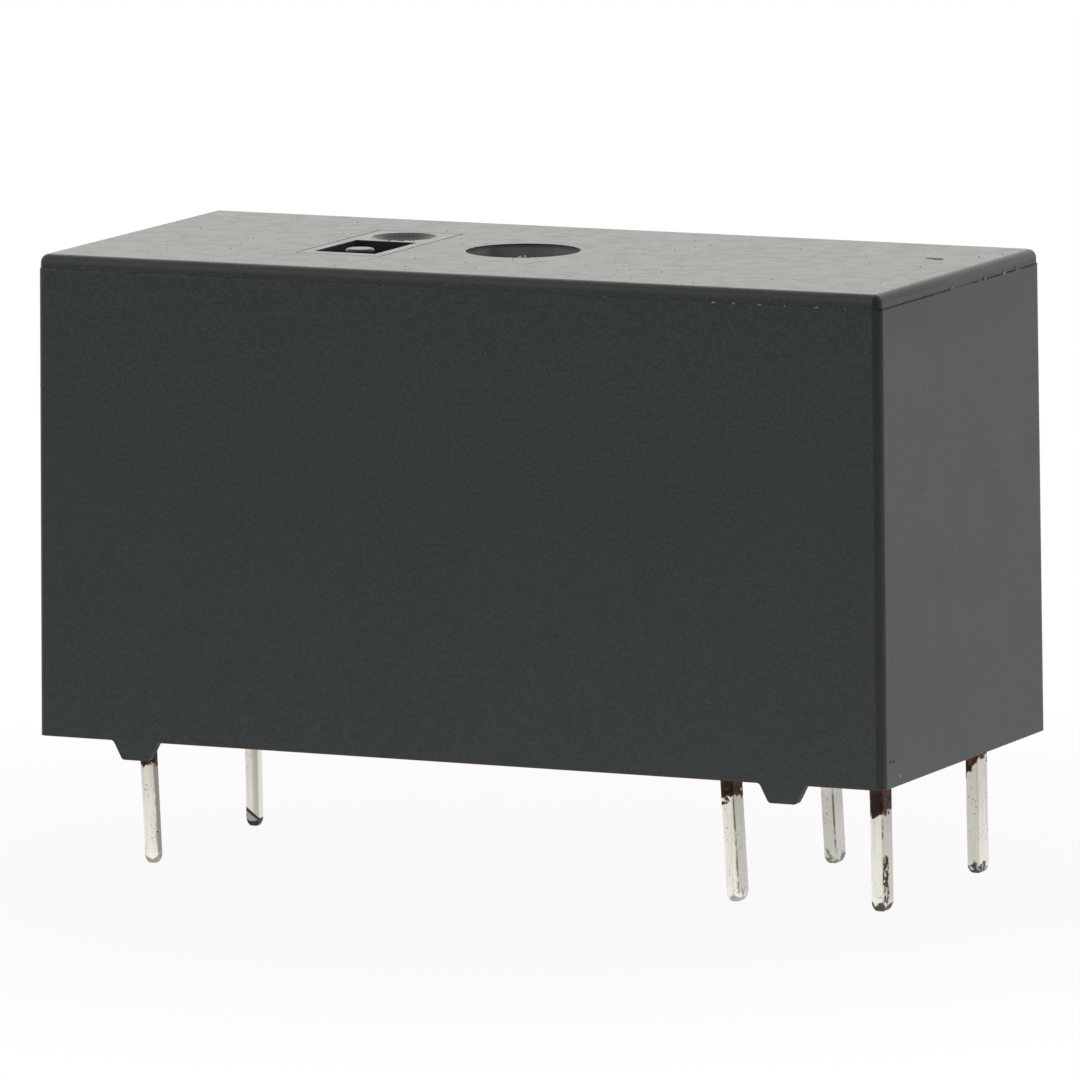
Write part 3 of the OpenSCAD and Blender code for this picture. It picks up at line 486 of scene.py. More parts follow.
def enamelled_wire():
    """Red-brown enamelled copper laid turn by turn."""
    f = Finish("enamelled_wire")
    turns = f.node("ShaderNodeTexWave", wave_type="BANDS", bands_direction="X")
    f.tree.links.new(f.place, turns.inputs["Vector"])
    turns.inputs["Scale"].default_value = 2.4
    turns.inputs["Distortion"].default_value = 0.6
    groove = Field(f.tree, turns.outputs["Fac"])
    f.set("Base Color", f.mix(groove, (0.16, 0.030, 0.010), (0.62, 0.20, 0.07)))
    f.set("Metallic", 0.85)
    f.set("Roughness", f.ramp(f.noise(4.0), 0.3, 0.7, 0.24, 0.38))
    f.bump(groove, 0.03)
    return f.material


def coil_film():
    """Black polyester tape with fine ribs from the turns under it."""
    f = Finish("coil_film")
    ribs = f.noise(1.0, 3.0, stretch=(7.0, 0.2, 0.2))
    f.set("Base Color", f.mix(ribs, (0.012, 0.012, 0.013), (0.030, 0.030, 0.032)))
    f.set("Roughness", f.ramp(ribs, 0.3, 0.7, 0.22, 0.34))
    f.bump(ribs, 0.02)
    return f.material


def plated_iron():
    """Zinc-plated iron, dull grey with a rolled grain."""
    f = Finish("plated_iron")
    rolled = f.noise(3.0, 4.0, stretch=(0.2, 2.0, 2.0))
    spots = f.ramp(f.noise(1.2, 5.0), 0.58, 0.7)
    colour = f.mix(rolled, (0.40, 0.40, 0.39), (0.60, 0.60, 0.58))
    f.set("Base Color", f.mix(spots * 0.4, colour, (0.30, 0.28, 0.24)))
    f.set("Metallic", 1.0)
    f.set("Roughness", f.ramp(rolled, 0.2, 0.8, 0.32, 0.48))
    f.bump(rolled, 0.006)
    return f.material


def spring_bronze():
    """Bare rolled bronze strip with a light tarnish."""
    f = Finish("spring_bronze")
    rolled = f.noise(3.5, 4.0, stretch=(2.0, 2.0, 0.15))
    tarnish = f.ramp(f.noise(0.9, 4.0), 0.45, 0.7)
    colour = f.mix(rolled, (0.60, 0.36, 0.17), (0.74, 0.48, 0.25))
    f.set("Base Color", f.mix(tarnish * 0.5, colour, (0.36, 0.19, 0.09)))
    f.set("Metallic", 1.0)
    f.set("Roughness", f.ramp(rolled, 0.2, 0.8, 0.22, 0.36))
    f.bump(rolled, 0.004)
    return f.material


def contact_silver():
    """Pressed silver alloy, frosted, with a yellowed rim."""
    f = Finish("contact_silver")
    frost = f.noise(14.0, 3.0)
    dull = f.ramp(f.noise(1.6, 3.0), 0.4, 0.7)
    colour = f.mix(frost, (0.74, 0.73, 0.70), (0.88, 0.87, 0.85))
    f.set("Base Color", f.mix(dull * 0.4, colour, (0.62, 0.55, 0.42)))
    f.set("Metallic", 1.0)
    f.set("Roughness", f.ramp(frost, 0.3, 0.7, 0.28, 0.42))
    f.bump(frost, 0.004)
    return f.material


def cut_end(f, pin, along, blot):
    """Slanting cut through a pin's end: its dark border, and the bare metal inside it."""
    low = f.ramp(f.z, TIP_Z + pin.half[0], TIP_Z)
    border = f.ramp((along * along + low * low).math("SQRT") + (blot - 0.5) * 0.5, 0.80, 0.98)
    slant = f.z + along * CUT_SLOPE
    height = TIP_Z + pin.cut
    inside = f.ramp(slant, height + 0.03, height - 0.03)
    rim = (border * inside).either(f.ramp(abs(slant - height), 0.04, 0.08, 1.0, 0.0) * pin.bare)
    return rim, inside * rim.inverse() * pin.bare


def edge_line(f, pin, along, across, ragged):
    """Broken dark line down a pin's near right edge."""
    top, foot = pin.line
    length = f.ramp(f.z + ragged, foot, foot + 0.3) * f.ramp(f.z, top + 0.1, top)
    breaks = f.ramp(f.noise(2.2, 3.0, start=(1, 5, pin.x)), 0.38, 0.5)
    return f.near(along, 1.0, 0.34) * f.near(across, -0.93, 0.15) * length * breaks


def brown_streak(f, pin, along, across, ragged):
    """Patchy brown streak on a pin's right face."""
    face = f.ramp(along, 0.8, 0.95) * f.ramp(abs(across + 0.45 + ragged * 0.9), 0.36, 0.56, 1.0, 0.0)
    holes = f.ramp(f.noise(8.0, 3.0, start=(2, 2, 0)), 0.40, 0.50)
    return face * holes * f.ramp(abs(f.z - STREAK_Z + ragged), 0.55, 0.75, 1.0, 0.0) * pin.streak


def pin_marks(f, pin, blot):
    """Masks of one pin: stained root, dark line with painted shade on the right face, brown streak, greying
    with painted shade on one face, worn tip and bare cut.
    """
    side = f.ramp(f.y * math.copysign(1.0, pin.y), -0.2, 0.2)
    along = (f.x - pin.x - (f.z * -1.0 + BEND_Z) * pin.lean) * (1.0 / pin.half[0])
    across = (f.y - pin.y) * (1.0 / pin.half[1])
    ragged = (blot - 0.5) * 0.9
    outside = f.ramp(f.z, RESIN_Z + 0.1, RESIN_Z + 0.3, 1.0, 0.0)
    stain = f.ramp(f.z - along * pin.slope + ragged, pin.stain, pin.stain + 0.10) * outside
    line = edge_line(f, pin, along, across, ragged)
    streak = brown_streak(f, pin, along, across, ragged)
    # Painted shade: the right face of a front pin and the near face of a back pin darker as light falls, on
    # the front coil pin also through the line mask
    if pin.y < 0:
        right = f.ramp(along, 0.85, 1.0)
        side_shade = right * 0.8
        line = line.either(right * pin.shade)
    else:
        half = f.ramp(along + ragged * 0.4, -0.5, 0.5) * f.ramp(f.z, 0.4, -1.2, 0.3, 1.0)
        side_shade = f.ramp(across, -0.85, -1.0) * (half * pin.shade + 0.6 * (1.0 - pin.shade))
    grey = (f.ramp(f.z + ragged, -0.6, -1.5) * pin.grey).either(side_shade)
    tip = f.ramp(f.z + blot * 1.3, TIP_Z + 0.98, TIP_Z + 0.80) * pin.tip
    rim, bare = cut_end(f, pin, along, blot)
    worn = tip.either(rim * (0.45 + 0.45 * pin.bare))
    return [mask * side for mask in (stain, line, streak, grey, worn, bare)]


def tin_plate(name, *pins):
    """Dull tin on pins: burnt flux at the roots, dark cut tips, specks, drawn lines, and painted shade on
    one face of each pin.
    """
    f = Finish(name)
    blot = f.noise(5.0, 4.0)
    masks = [pin_marks(f, pin, blot) for pin in pins]
    stain, line, streak, grey, tip, bare = [functools.reduce(Field.either, kind) for kind in zip(*masks)]
    specks = f.ramp(f.noise(13.0, 3.0), 0.62, 0.68) * f.ramp(f.noise(1.4, 2.0, start=(3, 0, 2)), 0.48, 0.62)
    drawn = f.noise(2.0, 3.0, stretch=(5.0, 5.0, 0.35))
    colour = f.mix(f.ramp(drawn, 0.3, 0.6), (0.74, 0.72, 0.64), (0.91, 0.89, 0.795))
    # Greying low on the back pins, and painted shade on one face of every pin
    colour = f.mix(grey * 0.75, colour, (0.36, 0.34, 0.31))
    colour = f.mix(specks * 0.6, colour, (0.12, 0.105, 0.09))
    # Dark edge line, with painted shade on the right face of the front coil pin
    colour = f.mix(line * 0.85, colour, (0.05, 0.045, 0.04))
    colour = f.mix(bare, colour, (0.36, 0.30, 0.285))
    colour = f.mix(tip, colour, (0.07, 0.055, 0.045))
    colour = f.mix(streak, colour, (0.060, 0.030, 0.018))
    burnt = f.mix(f.ramp(blot, 0.42, 0.56), (0.020, 0.012, 0.009), (0.17, 0.062, 0.026))
    colour = f.mix(stain, colour, burnt)
    f.set("Base Color", colour)
    crust = stain.either(tip).either(streak)
    f.set("Metallic", crust.inverse())
    f.set("Specular IOR Level", crust * -0.32 + 0.5)
    f.set("Roughness", f.ramp(drawn, 0.2, 0.8, 0.20, 0.30) + crust * 0.3)
    f.bump(drawn * 0.6 - specks, 0.005)
    return f.material


def old_flux():
    """Burnt soldering flux, brown to red, charred at its lower edge."""
    f = Finish("old_flux")
    pool = f.noise(3.4, 4.0)
    colour = f.mix(f.ramp(pool, 0.36, 0.52), (0.018, 0.011, 0.008), (0.16, 0.062, 0.028))
    colour = f.mix(f.ramp(pool, 0.52, 0.62), colour, (0.36, 0.15, 0.07))
    charred = f.ramp(f.z + (pool - 0.5) * 1.2, 0.15, -0.15)
    f.set("Base Color", f.mix(charred * 0.85, colour, (0.020, 0.015, 0.012)))
    f.set("Roughness", f.ramp(pool, 0.3, 0.7, 0.28, 0.5))
    f.set("Specular IOR Level", 0.25)
    f.bump(pool, 0.04)
    return f.material


def speck_finish(name, pale, deep):
    """Loose dust, torn plastic, and dark flakes for painted dent shade, uneven in tone."""
    f = Finish(name)
    tone = f.noise(2.5, 2.0)
    f.set("Base Color", f.mix(f.ramp(tone, 0.35, 0.65), deep, pale))
    f.set("Roughness", f.ramp(tone, 0.3, 0.7, 0.55, 0.8))
    return f.material


class NodeTree:
    """A Geometry Nodes tree in the making."""

    def __init__(self, name):
        self.tree = bpy.data.node_groups.new(name, "GeometryNodeTree")
        self.ids = {}
        self.tree.interface.new_socket("Geometry", in_out="OUTPUT", socket_type="NodeSocketGeometry")

    def inputs(self, **kinds):
        """Named inputs, in order, each with its socket type."""
        for name, kind in kinds.items():
            made = self.tree.interface.new_socket(name, in_out="INPUT", socket_type="NodeSocket" + kind)
            self.ids[name] = made.identifier
        start = self.tree.nodes.new("NodeGroupInput")
        return [start.outputs[name] for name in kinds]

    def add(self, kind, links=None, **settings):
        """A node with settings, and its inputs by name or number."""
        made = self.tree.nodes.new(kind)
        for name, value in settings.items():
            setattr(made, name, value)
        for key, value in (links or {}).items():
            feed(self.tree, made.inputs[key], value)
        return made

    def finish(self, instances, material):
        """Ends the tree in real meshes with a material."""
        real = self.add("GeometryNodeRealizeInstances", {0: instances})
        painted = self.add("GeometryNodeSetMaterial", {"Geometry": real.outputs[0], "Material": material})
        end = self.tree.nodes.new("NodeGroupOutput")
        self.tree.links.new(painted.outputs[0], end.inputs[0])
        return self


def crumb_tree():
    """Small angular crumbs strewn over faces, flat on the surface."""
    t = NodeTree("crumbs_on_faces")
    faces, amount, least, most, seed, material = t.inputs(
        Faces="Geometry", Amount="Float", Least="Float", Most="Float", Seed="Int", Finish="Material")
    points = t.add("GeometryNodeDistributePointsOnFaces", {"Mesh": faces, "Density": amount, "Seed": seed})
    size = t.add("FunctionNodeRandomValue", {2: least, 3: most, "Seed": seed}, data_type="FLOAT")
    flat = t.add("ShaderNodeCombineXYZ", {0: size.outputs[1], 1: size.outputs[1]})
    half = t.add("ShaderNodeMath", {0: size.outputs[1], 1: 0.45}, operation="MULTIPLY")
    t.tree.links.new(half.outputs[0], flat.inputs[2])
    crumb = t.add("GeometryNodeMeshIcoSphere", {"Radius": 1.0, "Subdivisions": 1})
    placed = t.add("GeometryNodeInstanceOnPoints", {
        "Points": points.outputs["Points"], "Instance": crumb.outputs[0],
        "Rotation": points.outputs["Rotation"], "Scale": flat.outputs[0]})
    return t.finish(placed.outputs[0], material)


def flash_tree():
    """Torn slivers of moulding flash along a line, with gaps."""
    t = NodeTree("flash_on_line")
    line, pitch, share, length, lift, seed, material = t.inputs(
        Line="Geometry", Pitch="Float", Share="Float", Length="Float", Lift="Float",
        Seed="Int", Finish="Material")
    points = t.add("GeometryNodeCurveToPoints", {"Curve": line, "Length": pitch}, mode="LENGTH")
    kept = t.add("FunctionNodeRandomValue", {"Probability": share, "Seed": seed}, data_type="BOOLEAN")
    stretch = t.add("FunctionNodeRandomValue", {2: 0.35, 3: 1.0, "Seed": seed}, data_type="FLOAT")
    rise = t.add("FunctionNodeRandomValue", {2: 0.4, 3: 1.0, "Seed": 7}, data_type="FLOAT")
    long = t.add("ShaderNodeMath", {0: stretch.outputs[1], 1: length}, operation="MULTIPLY")
    high = t.add("ShaderNodeMath", {0: rise.outputs[1], 1: lift}, operation="MULTIPLY")
    size = t.add("ShaderNodeCombineXYZ", {0: long.outputs[0], 1: high.outputs[0], 2: high.outputs[0]})
    turn = t.add("FunctionNodeAlignRotationToVector", {"Vector": points.outputs["Tangent"]}, axis="X")
    sliver = t.add("GeometryNodeMeshIcoSphere", {"Radius": 1.0, "Subdivisions": 1})
    placed = t.add("GeometryNodeInstanceOnPoints", {
        "Points": points.outputs["Points"], "Selection": kept.outputs[3], "Instance": sliver.outputs[0],
        "Rotation": turn.outputs[0], "Scale": size.outputs[0]})
    return t.finish(placed.outputs[0], material)


def grow(name, source, made, values):
    """Runs a tree on an object and keeps the result as a plain mesh piece."""
    modifier = source.modifiers.new("grow", "NODES")
    modifier.node_group = made.tree
    for key, value in values.items():
        modifier[made.ids[key]] = value
    view = bpy.context.evaluated_depsgraph_get()
    mesh = bpy.data.meshes.new_from_object(source.evaluated_get(view))
    piece = add_object(name, mesh)
    bpy.data.objects.remove(source)
    return piece


def add_object(name, data):
    made = bpy.data.objects.new(name, data)
    bpy.context.scene.collection.objects.link(made)
    return made


def mesh_from(name, shape):
    """Plain mesh object from a bmesh."""
    mesh = bpy.data.meshes.new(name)
    shape.to_mesh(mesh)
    shape.free()
    return add_object(name, mesh)


def copy_of(node):
    """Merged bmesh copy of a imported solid."""
    shape = bmesh.new()
    shape.from_mesh(frame["nodes"][node].data)
    bmesh.ops.remove_doubles(shape, verts=shape.verts, dist=1e-7)
    return shape


def paint(piece, material):
    piece.data.materials.clear()
    piece.data.materials.append(material)
    return piece


def dress(piece, material, body="housing"):
    """Finishes a piece of the scene and lets it ride."""
    paint(piece, material)
    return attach(piece, body)


def outer_faces():
    """The cover's outer faces, without the recesses and the room inside."""
    shape = copy_of("cover")
    limit = 0.6 * MM
    inner = []
    for face in shape.faces:
        middle = face.calc_center_median()
        past_end = abs(middle.x) - CASE_HIGH.x * MM
        past_side = abs(middle.y) - CASE_HIGH.y * MM
        past_roof = middle.z - ROOF_Z * MM
        if max(past_end, past_side, past_roof) < -limit or middle.dot(face.normal) < 0:
            inner.append(face)
    bmesh.ops.delete(shape, geom=inner, context="FACES")
    return mesh_from("outer_faces", shape)


def strew_dust(tree, pale, dark):
    """Sparse pale and dark specks on the outside of the cover."""
    for name, amount, seed, material in (("dust_pale", 2.0e5, 5, pale), ("dust_dark", 1.2e5, 11, dark)):
        piece = grow(name, outer_faces(), tree, {
            "Amount": amount, "Least": 0.008 * MM, "Most": 0.030 * MM, "Seed": seed, "Finish": material})
        dress(piece, material)


def line_object(name, points, closed):
    """Curve through points given in millimetres."""
    curve = bpy.data.curves.new(name, "CURVE")
    curve.dimensions = "3D"
    spline = curve.splines.new("POLY")
    spline.points.add(len(points) - 1)
    for point, place in zip(spline.points, points):
        point.co = (*(Vector(place) * MM), 1.0)
    spline.use_cyclic_u = closed
    return add_object(name, curve)


def parting_path():
    """Line round the case at the mould's parting, with its corners cut round."""
    half_x = CASE_HIGH.x - PARTING_INSET
    half_y = CASE_HIGH.y - PARTING_INSET
    corners = ((1, 1, 0), (-1, 1, 90), (-1, -1, 180), (1, -1, 270))
    points = []
    for sx, sy, first in corners:
        for turn in range(first, first + 91, 15):
            a = math.radians(turn)
            points.append((sx * (half_x - EDGE_R) + EDGE_R * math.cos(a),
                           sy * (half_y - EDGE_R) + EDGE_R * math.sin(a), PARTING_Z))
    return line_object("parting_path", points, True)


def rim_path(x, y, radius, first, last):
    """Arc on the roof round a recess."""
    points = []
    for turn in range(first, last + 1, 4):
        a = math.radians(turn)
        points.append((x + radius * math.cos(a), y + radius * math.sin(a), ROOF_Z))
    return line_object("rim_path", points, False)


def add_flash(tree, torn):
    """Flash on the parting line and on the rims of two recesses."""
    runs = (("parting_flash", parting_path(), 0.3, 0.25, 0.06, 0.022, 3),
            ("gate_flash", rim_path(*GATE, 282, 304), 0.09, 0.8, 0.11, 0.024, 8),
            ("dimple_flash", rim_path(*DIMPLE, 268, 312), 0.11, 0.6, 0.10, 0.020, 6))
    for name, path, pitch, share, length, lift, seed in runs:
        piece = grow(name, path, tree, {
            "Pitch": pitch * MM, "Share": share, "Length": length * MM, "Lift": lift * MM, "Seed": seed,
            "Finish": torn})
        dress(piece, torn)


def close_rings(name, rings):
    """Closed smooth piece from rings of points in millimetres, each ring a closed section."""
    shape = bmesh.new()
    made = [[shape.verts.new(Vector(point) * MM) for point in ring] for ring in rings]
    for i, here in enumerate(made):
        there = made[(i + 1) % len(made)]
        for j in range(len(here)):
            k = (j + 1) % len(here)
            shape.faces.new((here[j], here[k], there[k], there[j]))
    bmesh.ops.remove_doubles(shape, verts=shape.verts, dist=1e-8)
    bmesh.ops.recalc_face_normals(shape, faces=shape.faces)
    piece = mesh_from(name, shape)
    for face in piece.data.polygons:
        face.use_smooth = True
    return piece


def round_angles(count):
    """That many even angles round a circle."""
    return [2 * math.pi * i / count for i in range(count)]


def squared(a):
    """Direction at an angle, drawn out towards the corners of a square."""
    return [math.copysign(abs(part) ** 0.4, part) for part in (math.cos(a), math.sin(a))]


def collar_ring(a, pin, flare, reach, deep_side, seed):
    """Section of a sleeve on a pin at one angle, down its outside and back up inside the pin."""
    rows = 9
    skin = 0.02
    way_x, way_y = squared(a)
    uneven = noise.noise(Vector((math.cos(a), math.sin(a), seed)) * 1.6)
    deep = reach * (0.75 + 0.45 * math.cos(a - math.radians(deep_side)) + 0.6 * uneven)
    deep = max(deep, 0.25 * reach)

    def point(v, thick):
        middle = pin.middle(RESIN_Z + skin - deep * v)
        return middle + Vector((way_x * (pin.half[0] + thick), way_y * (pin.half[1] + thick), 0))

    ring = []
    for j in range(rows + 1):
        v = j / rows
        lump = 1 + 0.5 * noise.noise(Vector((math.cos(a) * 2, math.sin(a) * 2, seed + 2 * v)))
        ring.append(point(v, flare * (1 - v) ** 3 + skin * lump * (1 - v ** 4)))
    return ring + [point(1.0, -skin), point(0.0, -skin)]


def collar(name, *form):
    """Sleeve of resin or flux on a pin, thick at the resin and running out to an uneven edge."""
    return close_rings(name, [collar_ring(a, *form) for a in round_angles(AROUND)])


def wall_inset(z):
    """How far the walls have drawn in at a height."""
    return DRAFT * (z - RIM_Z) / (ROOF_Z - RIM_Z)


def cover_shell(plastic):
    """The cover, with the roots of its feet brought flush with the drawn-in walls."""
    shape = copy_of("cover")
    for vert in shape.verts:
        z = vert.co.z * PER_M
        flush = (CASE_HIGH.y - wall_inset(z)) * MM
        if z > RIM_Z and abs(vert.co.y) > flush:
            vert.co.y = math.copysign(flush, vert.co.y)
    bmesh.ops.remove_doubles(shape, verts=shape.verts, dist=1e-7)
    bmesh.ops.dissolve_degenerate(shape, edges=shape.edges, dist=1e-8)
    flat = 0.995
    crease = math.radians(25)
    for face in shape.faces:
        face.smooth = max(abs(part) for part in face.normal) < flat
    for edge in shape.edges:
        edge.smooth = edge.calc_face_angle(math.pi) < crease
    piece = dress(mesh_from("cover_shell", shape), plastic)
    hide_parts("cover")


def add_flakes(name, marks, material):
    """Small uneven flakes, from places, half sizes and, for some, a turn about the upright."""
    shape = bmesh.new()
    for place, half, *turn in marks:
        flake = bmesh.ops.create_icosphere(shape, subdivisions=2, radius=1.0)["verts"]
        for vert in flake:
            vert.co *= 1.0 + 0.45 * noise.noise(vert.co * 1.7 + Vector(place))
        shaped = Matrix.Rotation(sum(turn), 4, "Z") @ Matrix.Diagonal((*half, 1.0))
        put = Matrix.Scale(MM, 4) @ Matrix.Translation(place) @ shaped
        bmesh.ops.transform(shape, verts=flake, matrix=put)
    dress(mesh_from(name, shape), material)


def on_end(marks):
    """Flakes half sunk in the contact end's wall."""
    sunk = 0.5 * NICK_DEPTH
    return [((CASE_HIGH.x - wall_inset(z) - sunk, y, z), (NICK_DEPTH, along, up))
            for y, z, along, up in marks]


def on_front(marks):
    """Flakes on the parting line of the front wall."""
    y = CASE_LOW.y + wall_inset(PARTING_Z)
    return [((x, y, PARTING_Z), (along, NICK_DEPTH, NICK_DEPTH)) for x, along in marks]


def on_roof(marks):
    """Flat flakes on the roof."""
    return [((x, y, ROOF_Z), (along, across, 0.3 * NICK_DEPTH)) for x, y, along, across in marks]


def over_gate(slivers):
    """Slivers that lie over the rim of the round recess, from angles and half sizes."""
    marks = []
    for degrees, along, across in slivers:
        a = math.radians(degrees)
        reach = GATE[2] - 0.8 * along
        place = (GATE[0] + reach * math.sin(a), GATE[1] - reach * math.cos(a), ROOF_Z - 0.5 * NICK_DEPTH)
        marks.append((place, (across, along, 0.4 * NICK_DEPTH), a))
    return marks


def add_nicks(torn, dark):
    """Torn bits and dark marks of the cover, and dark flakes as the painted shade of dents in the roof."""
    pale = on_end(PALE_ON_END) + on_front(PALE_ON_FRONT) + over_gate(SLIVERS_ON_GATE)
    add_flakes("pale_nicks", pale, torn)
    add_flakes("dark_nicks_and_dent_shade", on_end(DARK_ON_END) + on_roof(DENT_SHADE_ON_ROOF), dark)


def lathe(name, x, y, profile):
    """Round piece on an upright axis, from radii and heights above the roof in millimetres."""
    rings = []
    for a in round_angles(AROUND):
        rings.append([(x + r * math.cos(a), y + r * math.sin(a), ROOF_Z + up) for r, up in profile])
    return close_rings(name, rings)


def bowl_profile(radius, depth):
    """Dish from the rim to the middle, closed by the wall and floor of its recess."""
    skin = 0.02
    steps = 10
    dish = []
    for i in range(steps + 1):
        share = i / steps
        dish.append((radius * (1 - share) - 0.002, -depth * (1 - (1 - share) ** 2.5) * 0.9 - 0.004))
    return dish[:-1] + [(0.0, dish[-1][1]), (0.0, skin - depth), (radius - skin, skin - depth)]


def crown_profile(radius):
    """Rounded edge of the nib, from below the bevel over to the middle of its top."""
    thick = 0.085
    steps = 8
    edge = []
    for i in range(steps + 1):
        a = math.pi * (i / steps - 0.5)
        edge.append((radius - thick + thick * math.cos(a), thick * math.sin(a) - thick + 0.006))
    return [(0.0, edge[0][1])] + edge + [(0.0, edge[-1][1] + 0.002)]


def add_roof_fittings(plastic):
    """Dish of the dimple and rounded head of the nib."""
    dress(lathe("dimple_dish", *DIMPLE[:2], bowl_profile(DIMPLE[2], DIMPLE_DEPTH)), plastic)
    dress(lathe("nib_head", *NIB[:2], crown_profile(NIB[2])), plastic)


def add_collars(resin, flux):
    """Resin fillets on every pin, and burnt flux on three of them."""
    for name, pin in PINS.items():
        dress(collar("resin_fillet_" + name, pin, 0.16, 0.16, 0.0, 3.0), resin)
    burnt = (("common_front", 0.95, 200, 1.0),
             ("fixed_front", 1.10, 225, 4.0),
             ("fixed_back", 0.80, 200, 9.0))
    for name, reach, deep_side, seed in burnt:
        dress(collar("flux_" + name, PINS[name], 0.05, reach, deep_side, seed), flux)


def leaf_spring(bronze):
    """The contact leaf as a strip, cut across into bands upwards from its clamped root."""
    shape = copy_of("moving_spring")
    low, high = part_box("moving_spring")
    root_z = LEAF_ROOT_Z * MM
    steps = 16
    for i in range(steps):
        z = root_z + (high.z - root_z) * i / steps
        geometry = shape.verts[:] + shape.edges[:] + shape.faces[:]
        bmesh.ops.bisect_plane(shape, geom=geometry, plane_co=(0, 0, z), plane_no=(0, 0, 1))
    piece = paint(mesh_from("contact_leaf_strip", shape), bronze)
    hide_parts("moving_spring")
    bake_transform(piece)


def finish_solids():
    """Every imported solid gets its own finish."""
    white = plain_moulding("bobbin_white", (0.74, 0.71, 0.62), (0.66, 0.62, 0.52))
    ivory = plain_moulding("card_ivory", (0.78, 0.77, 0.72), (0.70, 0.68, 0.62))
    wire = enamelled_wire()
    iron = plated_iron()
    bronze = spring_bronze()
    silver = contact_silver()
    finishes = {
        "cover": case_plastic(),
        "base": plain_moulding("base_black", (0.034, 0.036, 0.037), (0.024, 0.026, 0.027), 0.55),
        "sealing_resin": cast_resin(),
        "bobbin": white, "card": ivory,
        "coil_winding": wire, "coil_lead_front": wire, "coil_lead_back": wire, "coil_tape": coil_film(),
        "core": iron, "yoke": iron, "armature": iron,
        "hinge_spring": bronze, "spring_rivets": bronze, "moving_spring": bronze,
        "moving_contact": silver, "fixed_contact": silver,
        "coil_terminal_front": tin_plate("tin_coil_front", PINS["coil_front"]),
        "coil_terminal_back": tin_plate("tin_coil_back", PINS["coil_back"]),
        "common_terminal": tin_plate("tin_common", PINS["common_front"], PINS["common_back"]),
        "fixed_terminal": tin_plate("tin_fixed", PINS["fixed_front"], PINS["fixed_back"]),
    }
    for node, material in finishes.items():
        paint(frame["nodes"][node], material)
    return finishes


def photo_camera():
    """Camera at the photograph's place."""
    height = math.radians(VIEW_HEIGHT)
    roll = math.radians(VIEW_ROLL)
    back = Vector((VIEW_WAY[0] * math.cos(height), VIEW_WAY[1] * math.cos(height), math.sin(height)))
    right = Vector((-VIEW_WAY[1], VIEW_WAY[0], 0))
    up = back.cross(right)
    tilted_right = right * math.cos(roll) + up * math.sin(roll)
    tilted_up = up * math.cos(roll) - right * math.sin(roll)
    lens = bpy.data.cameras.new("photo_camera")
    lens.lens = VIEW_LENS
    lens.clip_start = 0.01
    lens.clip_end = 20.0
    camera = add_object("photo_camera", lens)
    facing = Matrix((tilted_right, tilted_up, back)).transposed().to_4x4()
    camera.matrix_world = Matrix.Translation(VIEW_AIM + back * VIEW_DISTANCE) @ facing
    bpy.context.scene.camera = camera


def ray_kinds(tree):
    """1 for rays from the camera, and 1 for rays by reflection or through glass."""
    path = tree.nodes.new("ShaderNodeLightPath")
    mirrored = Field(tree, path.outputs["Is Glossy Ray"]).either(path.outputs["Is Transmission Ray"])
    return Field(tree, path.outputs["Is Camera Ray"]), mirrored


def light_room():
    """Soft studio: bright white behind and at the sides, dimmer above and towards the camera."""
    world = bpy.data.worlds.new("studio")
    bpy.context.scene.world = world
    world.use_nodes = True
    tree = world.node_tree
    way = tree.nodes.new("ShaderNodeTexCoord").outputs["Generated"]
    facing = tree.nodes.new("ShaderNodeVectorMath")
    facing.operation = "DOT_PRODUCT"
    tree.links.new(way, facing.inputs[0])
    facing.inputs[1].default_value = (*VIEW_WAY, 0.0)
    split = tree.nodes.new("ShaderNodeSeparateXYZ")
    tree.links.new(way, split.inputs[0])
    behind = smooth_step(tree, facing.outputs["Value"], *LIGHT_BEHIND)
    in_front = smooth_step(tree, facing.outputs["Value"], *LIGHT_IN_FRONT)
    above = smooth_step(tree, split.outputs[2], *LIGHT_ABOVE)
    seen = ray_kinds(tree)[0]
    level = behind * in_front * above
    feed(tree, tree.nodes["Background"].inputs["Strength"], level * seen.inverse() + seen)
    tint = tree.nodes.new("ShaderNodeMix")
    tint.data_type = "RGBA"
    feed(tree, tint.inputs[0], seen)
    tint.inputs[6].default_value = LIGHT_TINT
    tint.inputs[7].default_value = PLAIN_WHITE
    tree.links.new(tint.outputs[2], tree.nodes["Background"].inputs["Color"])


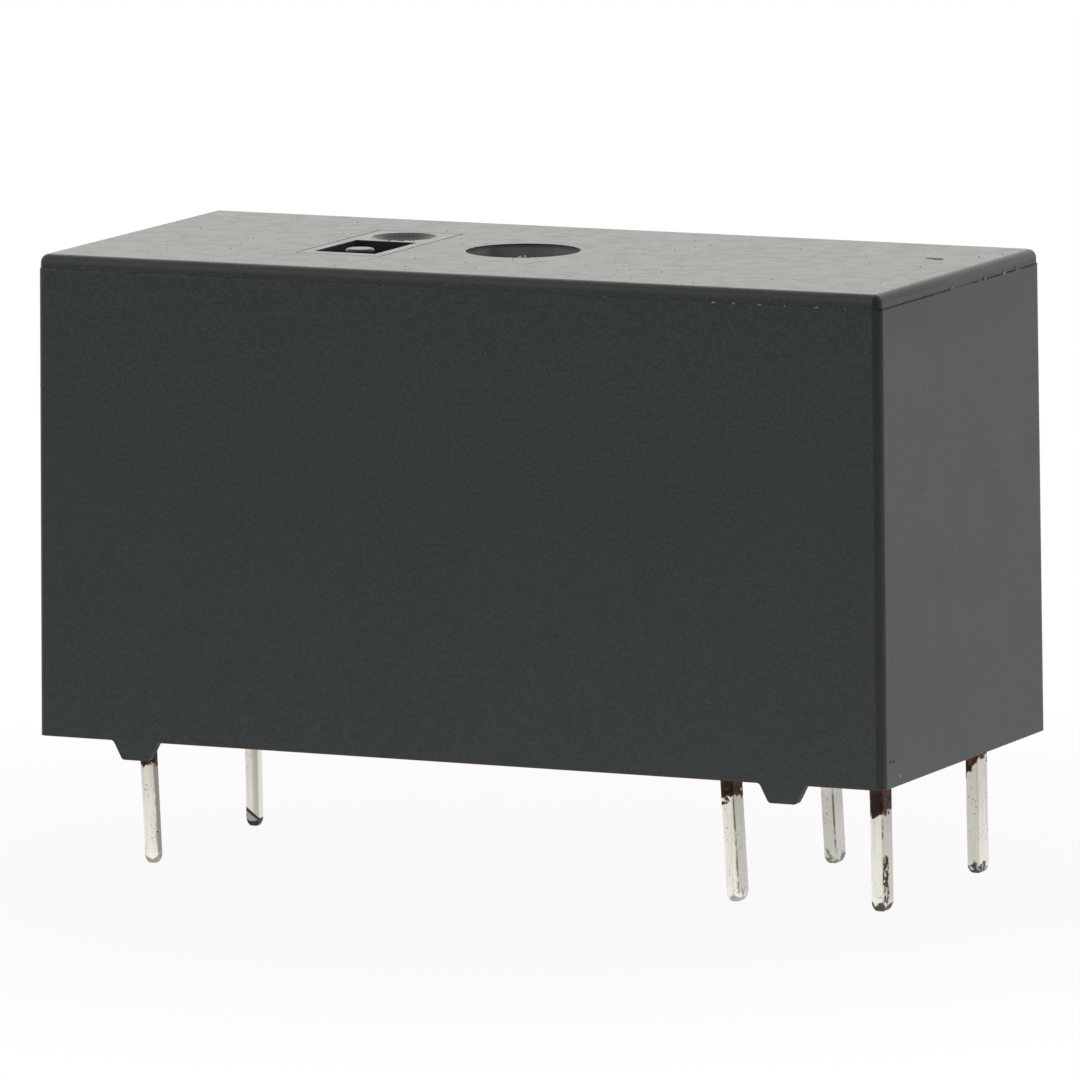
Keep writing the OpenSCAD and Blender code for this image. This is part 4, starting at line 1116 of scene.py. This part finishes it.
def pale_floor():
    """Round pale floor that keeps the shadow, runs out to white, and is clear from below."""
    shape = bmesh.new()
    bmesh.ops.create_circle(shape, cap_ends=True, radius=FLOOR_RADIUS, segments=96)
    bmesh.ops.translate(shape, verts=shape.verts, vec=(0, 0, cad_box[0].z))
    floor = mesh_from("floor", shape)
    f = Finish("pale_floor")
    f.set("Base Color", (0.86, 0.86, 0.86))
    f.set("Roughness", 0.9)
    f.set("Specular IOR Level", 0.0)
    away = (f.x * f.x + f.y * f.y).math("SQRT")
    towards = f.x * VIEW_WAY[0] + f.y * VIEW_WAY[1]
    seen, mirrored = ray_kinds(f.tree)
    glow = f.node("ShaderNodeEmission")
    loss = f.ramp(away, *FLOOR_DIMS) * f.ramp(towards, *FLOOR_LOSS)
    feed(f.tree, glow.inputs["Strength"], loss.inverse() * mirrored + seen)
    mixed = f.node("ShaderNodeMixShader")
    feed(f.tree, mixed.inputs[0], seen * f.ramp(away, *FLOOR_SHARE) + mirrored)
    f.tree.links.new(f.shader.outputs[0], mixed.inputs[1])
    f.tree.links.new(glow.outputs[0], mixed.inputs[2])
    sided = f.node("ShaderNodeMixShader")
    f.tree.links.new(f.node("ShaderNodeNewGeometry").outputs["Backfacing"], sided.inputs[0])
    f.tree.links.new(mixed.outputs[0], sided.inputs[1])
    f.tree.links.new(f.node("ShaderNodeBsdfTransparent").outputs[0], sided.inputs[2])
    f.tree.links.new(sided.outputs[0], f.tree.nodes["Material Output"].inputs["Surface"])
    paint(floor, f.material)


def main():
    bpy.context.scene.view_settings.view_transform = "Standard"
    photo_camera()
    light_room()
    pale_floor()
    finishes = finish_solids()
    torn = speck_finish("torn_plastic", (0.42, 0.43, 0.42), (0.20, 0.21, 0.21))
    pale = speck_finish("pale_dust", (0.24, 0.25, 0.24), (0.10, 0.11, 0.11))
    dark = speck_finish("dark_dust_and_dent_shade", (0.012, 0.012, 0.012), (0.004, 0.004, 0.004))
    cover_shell(finishes["cover"])
    strew_dust(crumb_tree(), pale, dark)
    add_flash(flash_tree(), torn)
    add_nicks(torn, dark)
    add_roof_fittings(finishes["cover"])
    add_collars(finishes["sealing_resin"], old_flux())
    leaf_spring(finishes["moving_spring"])


main()
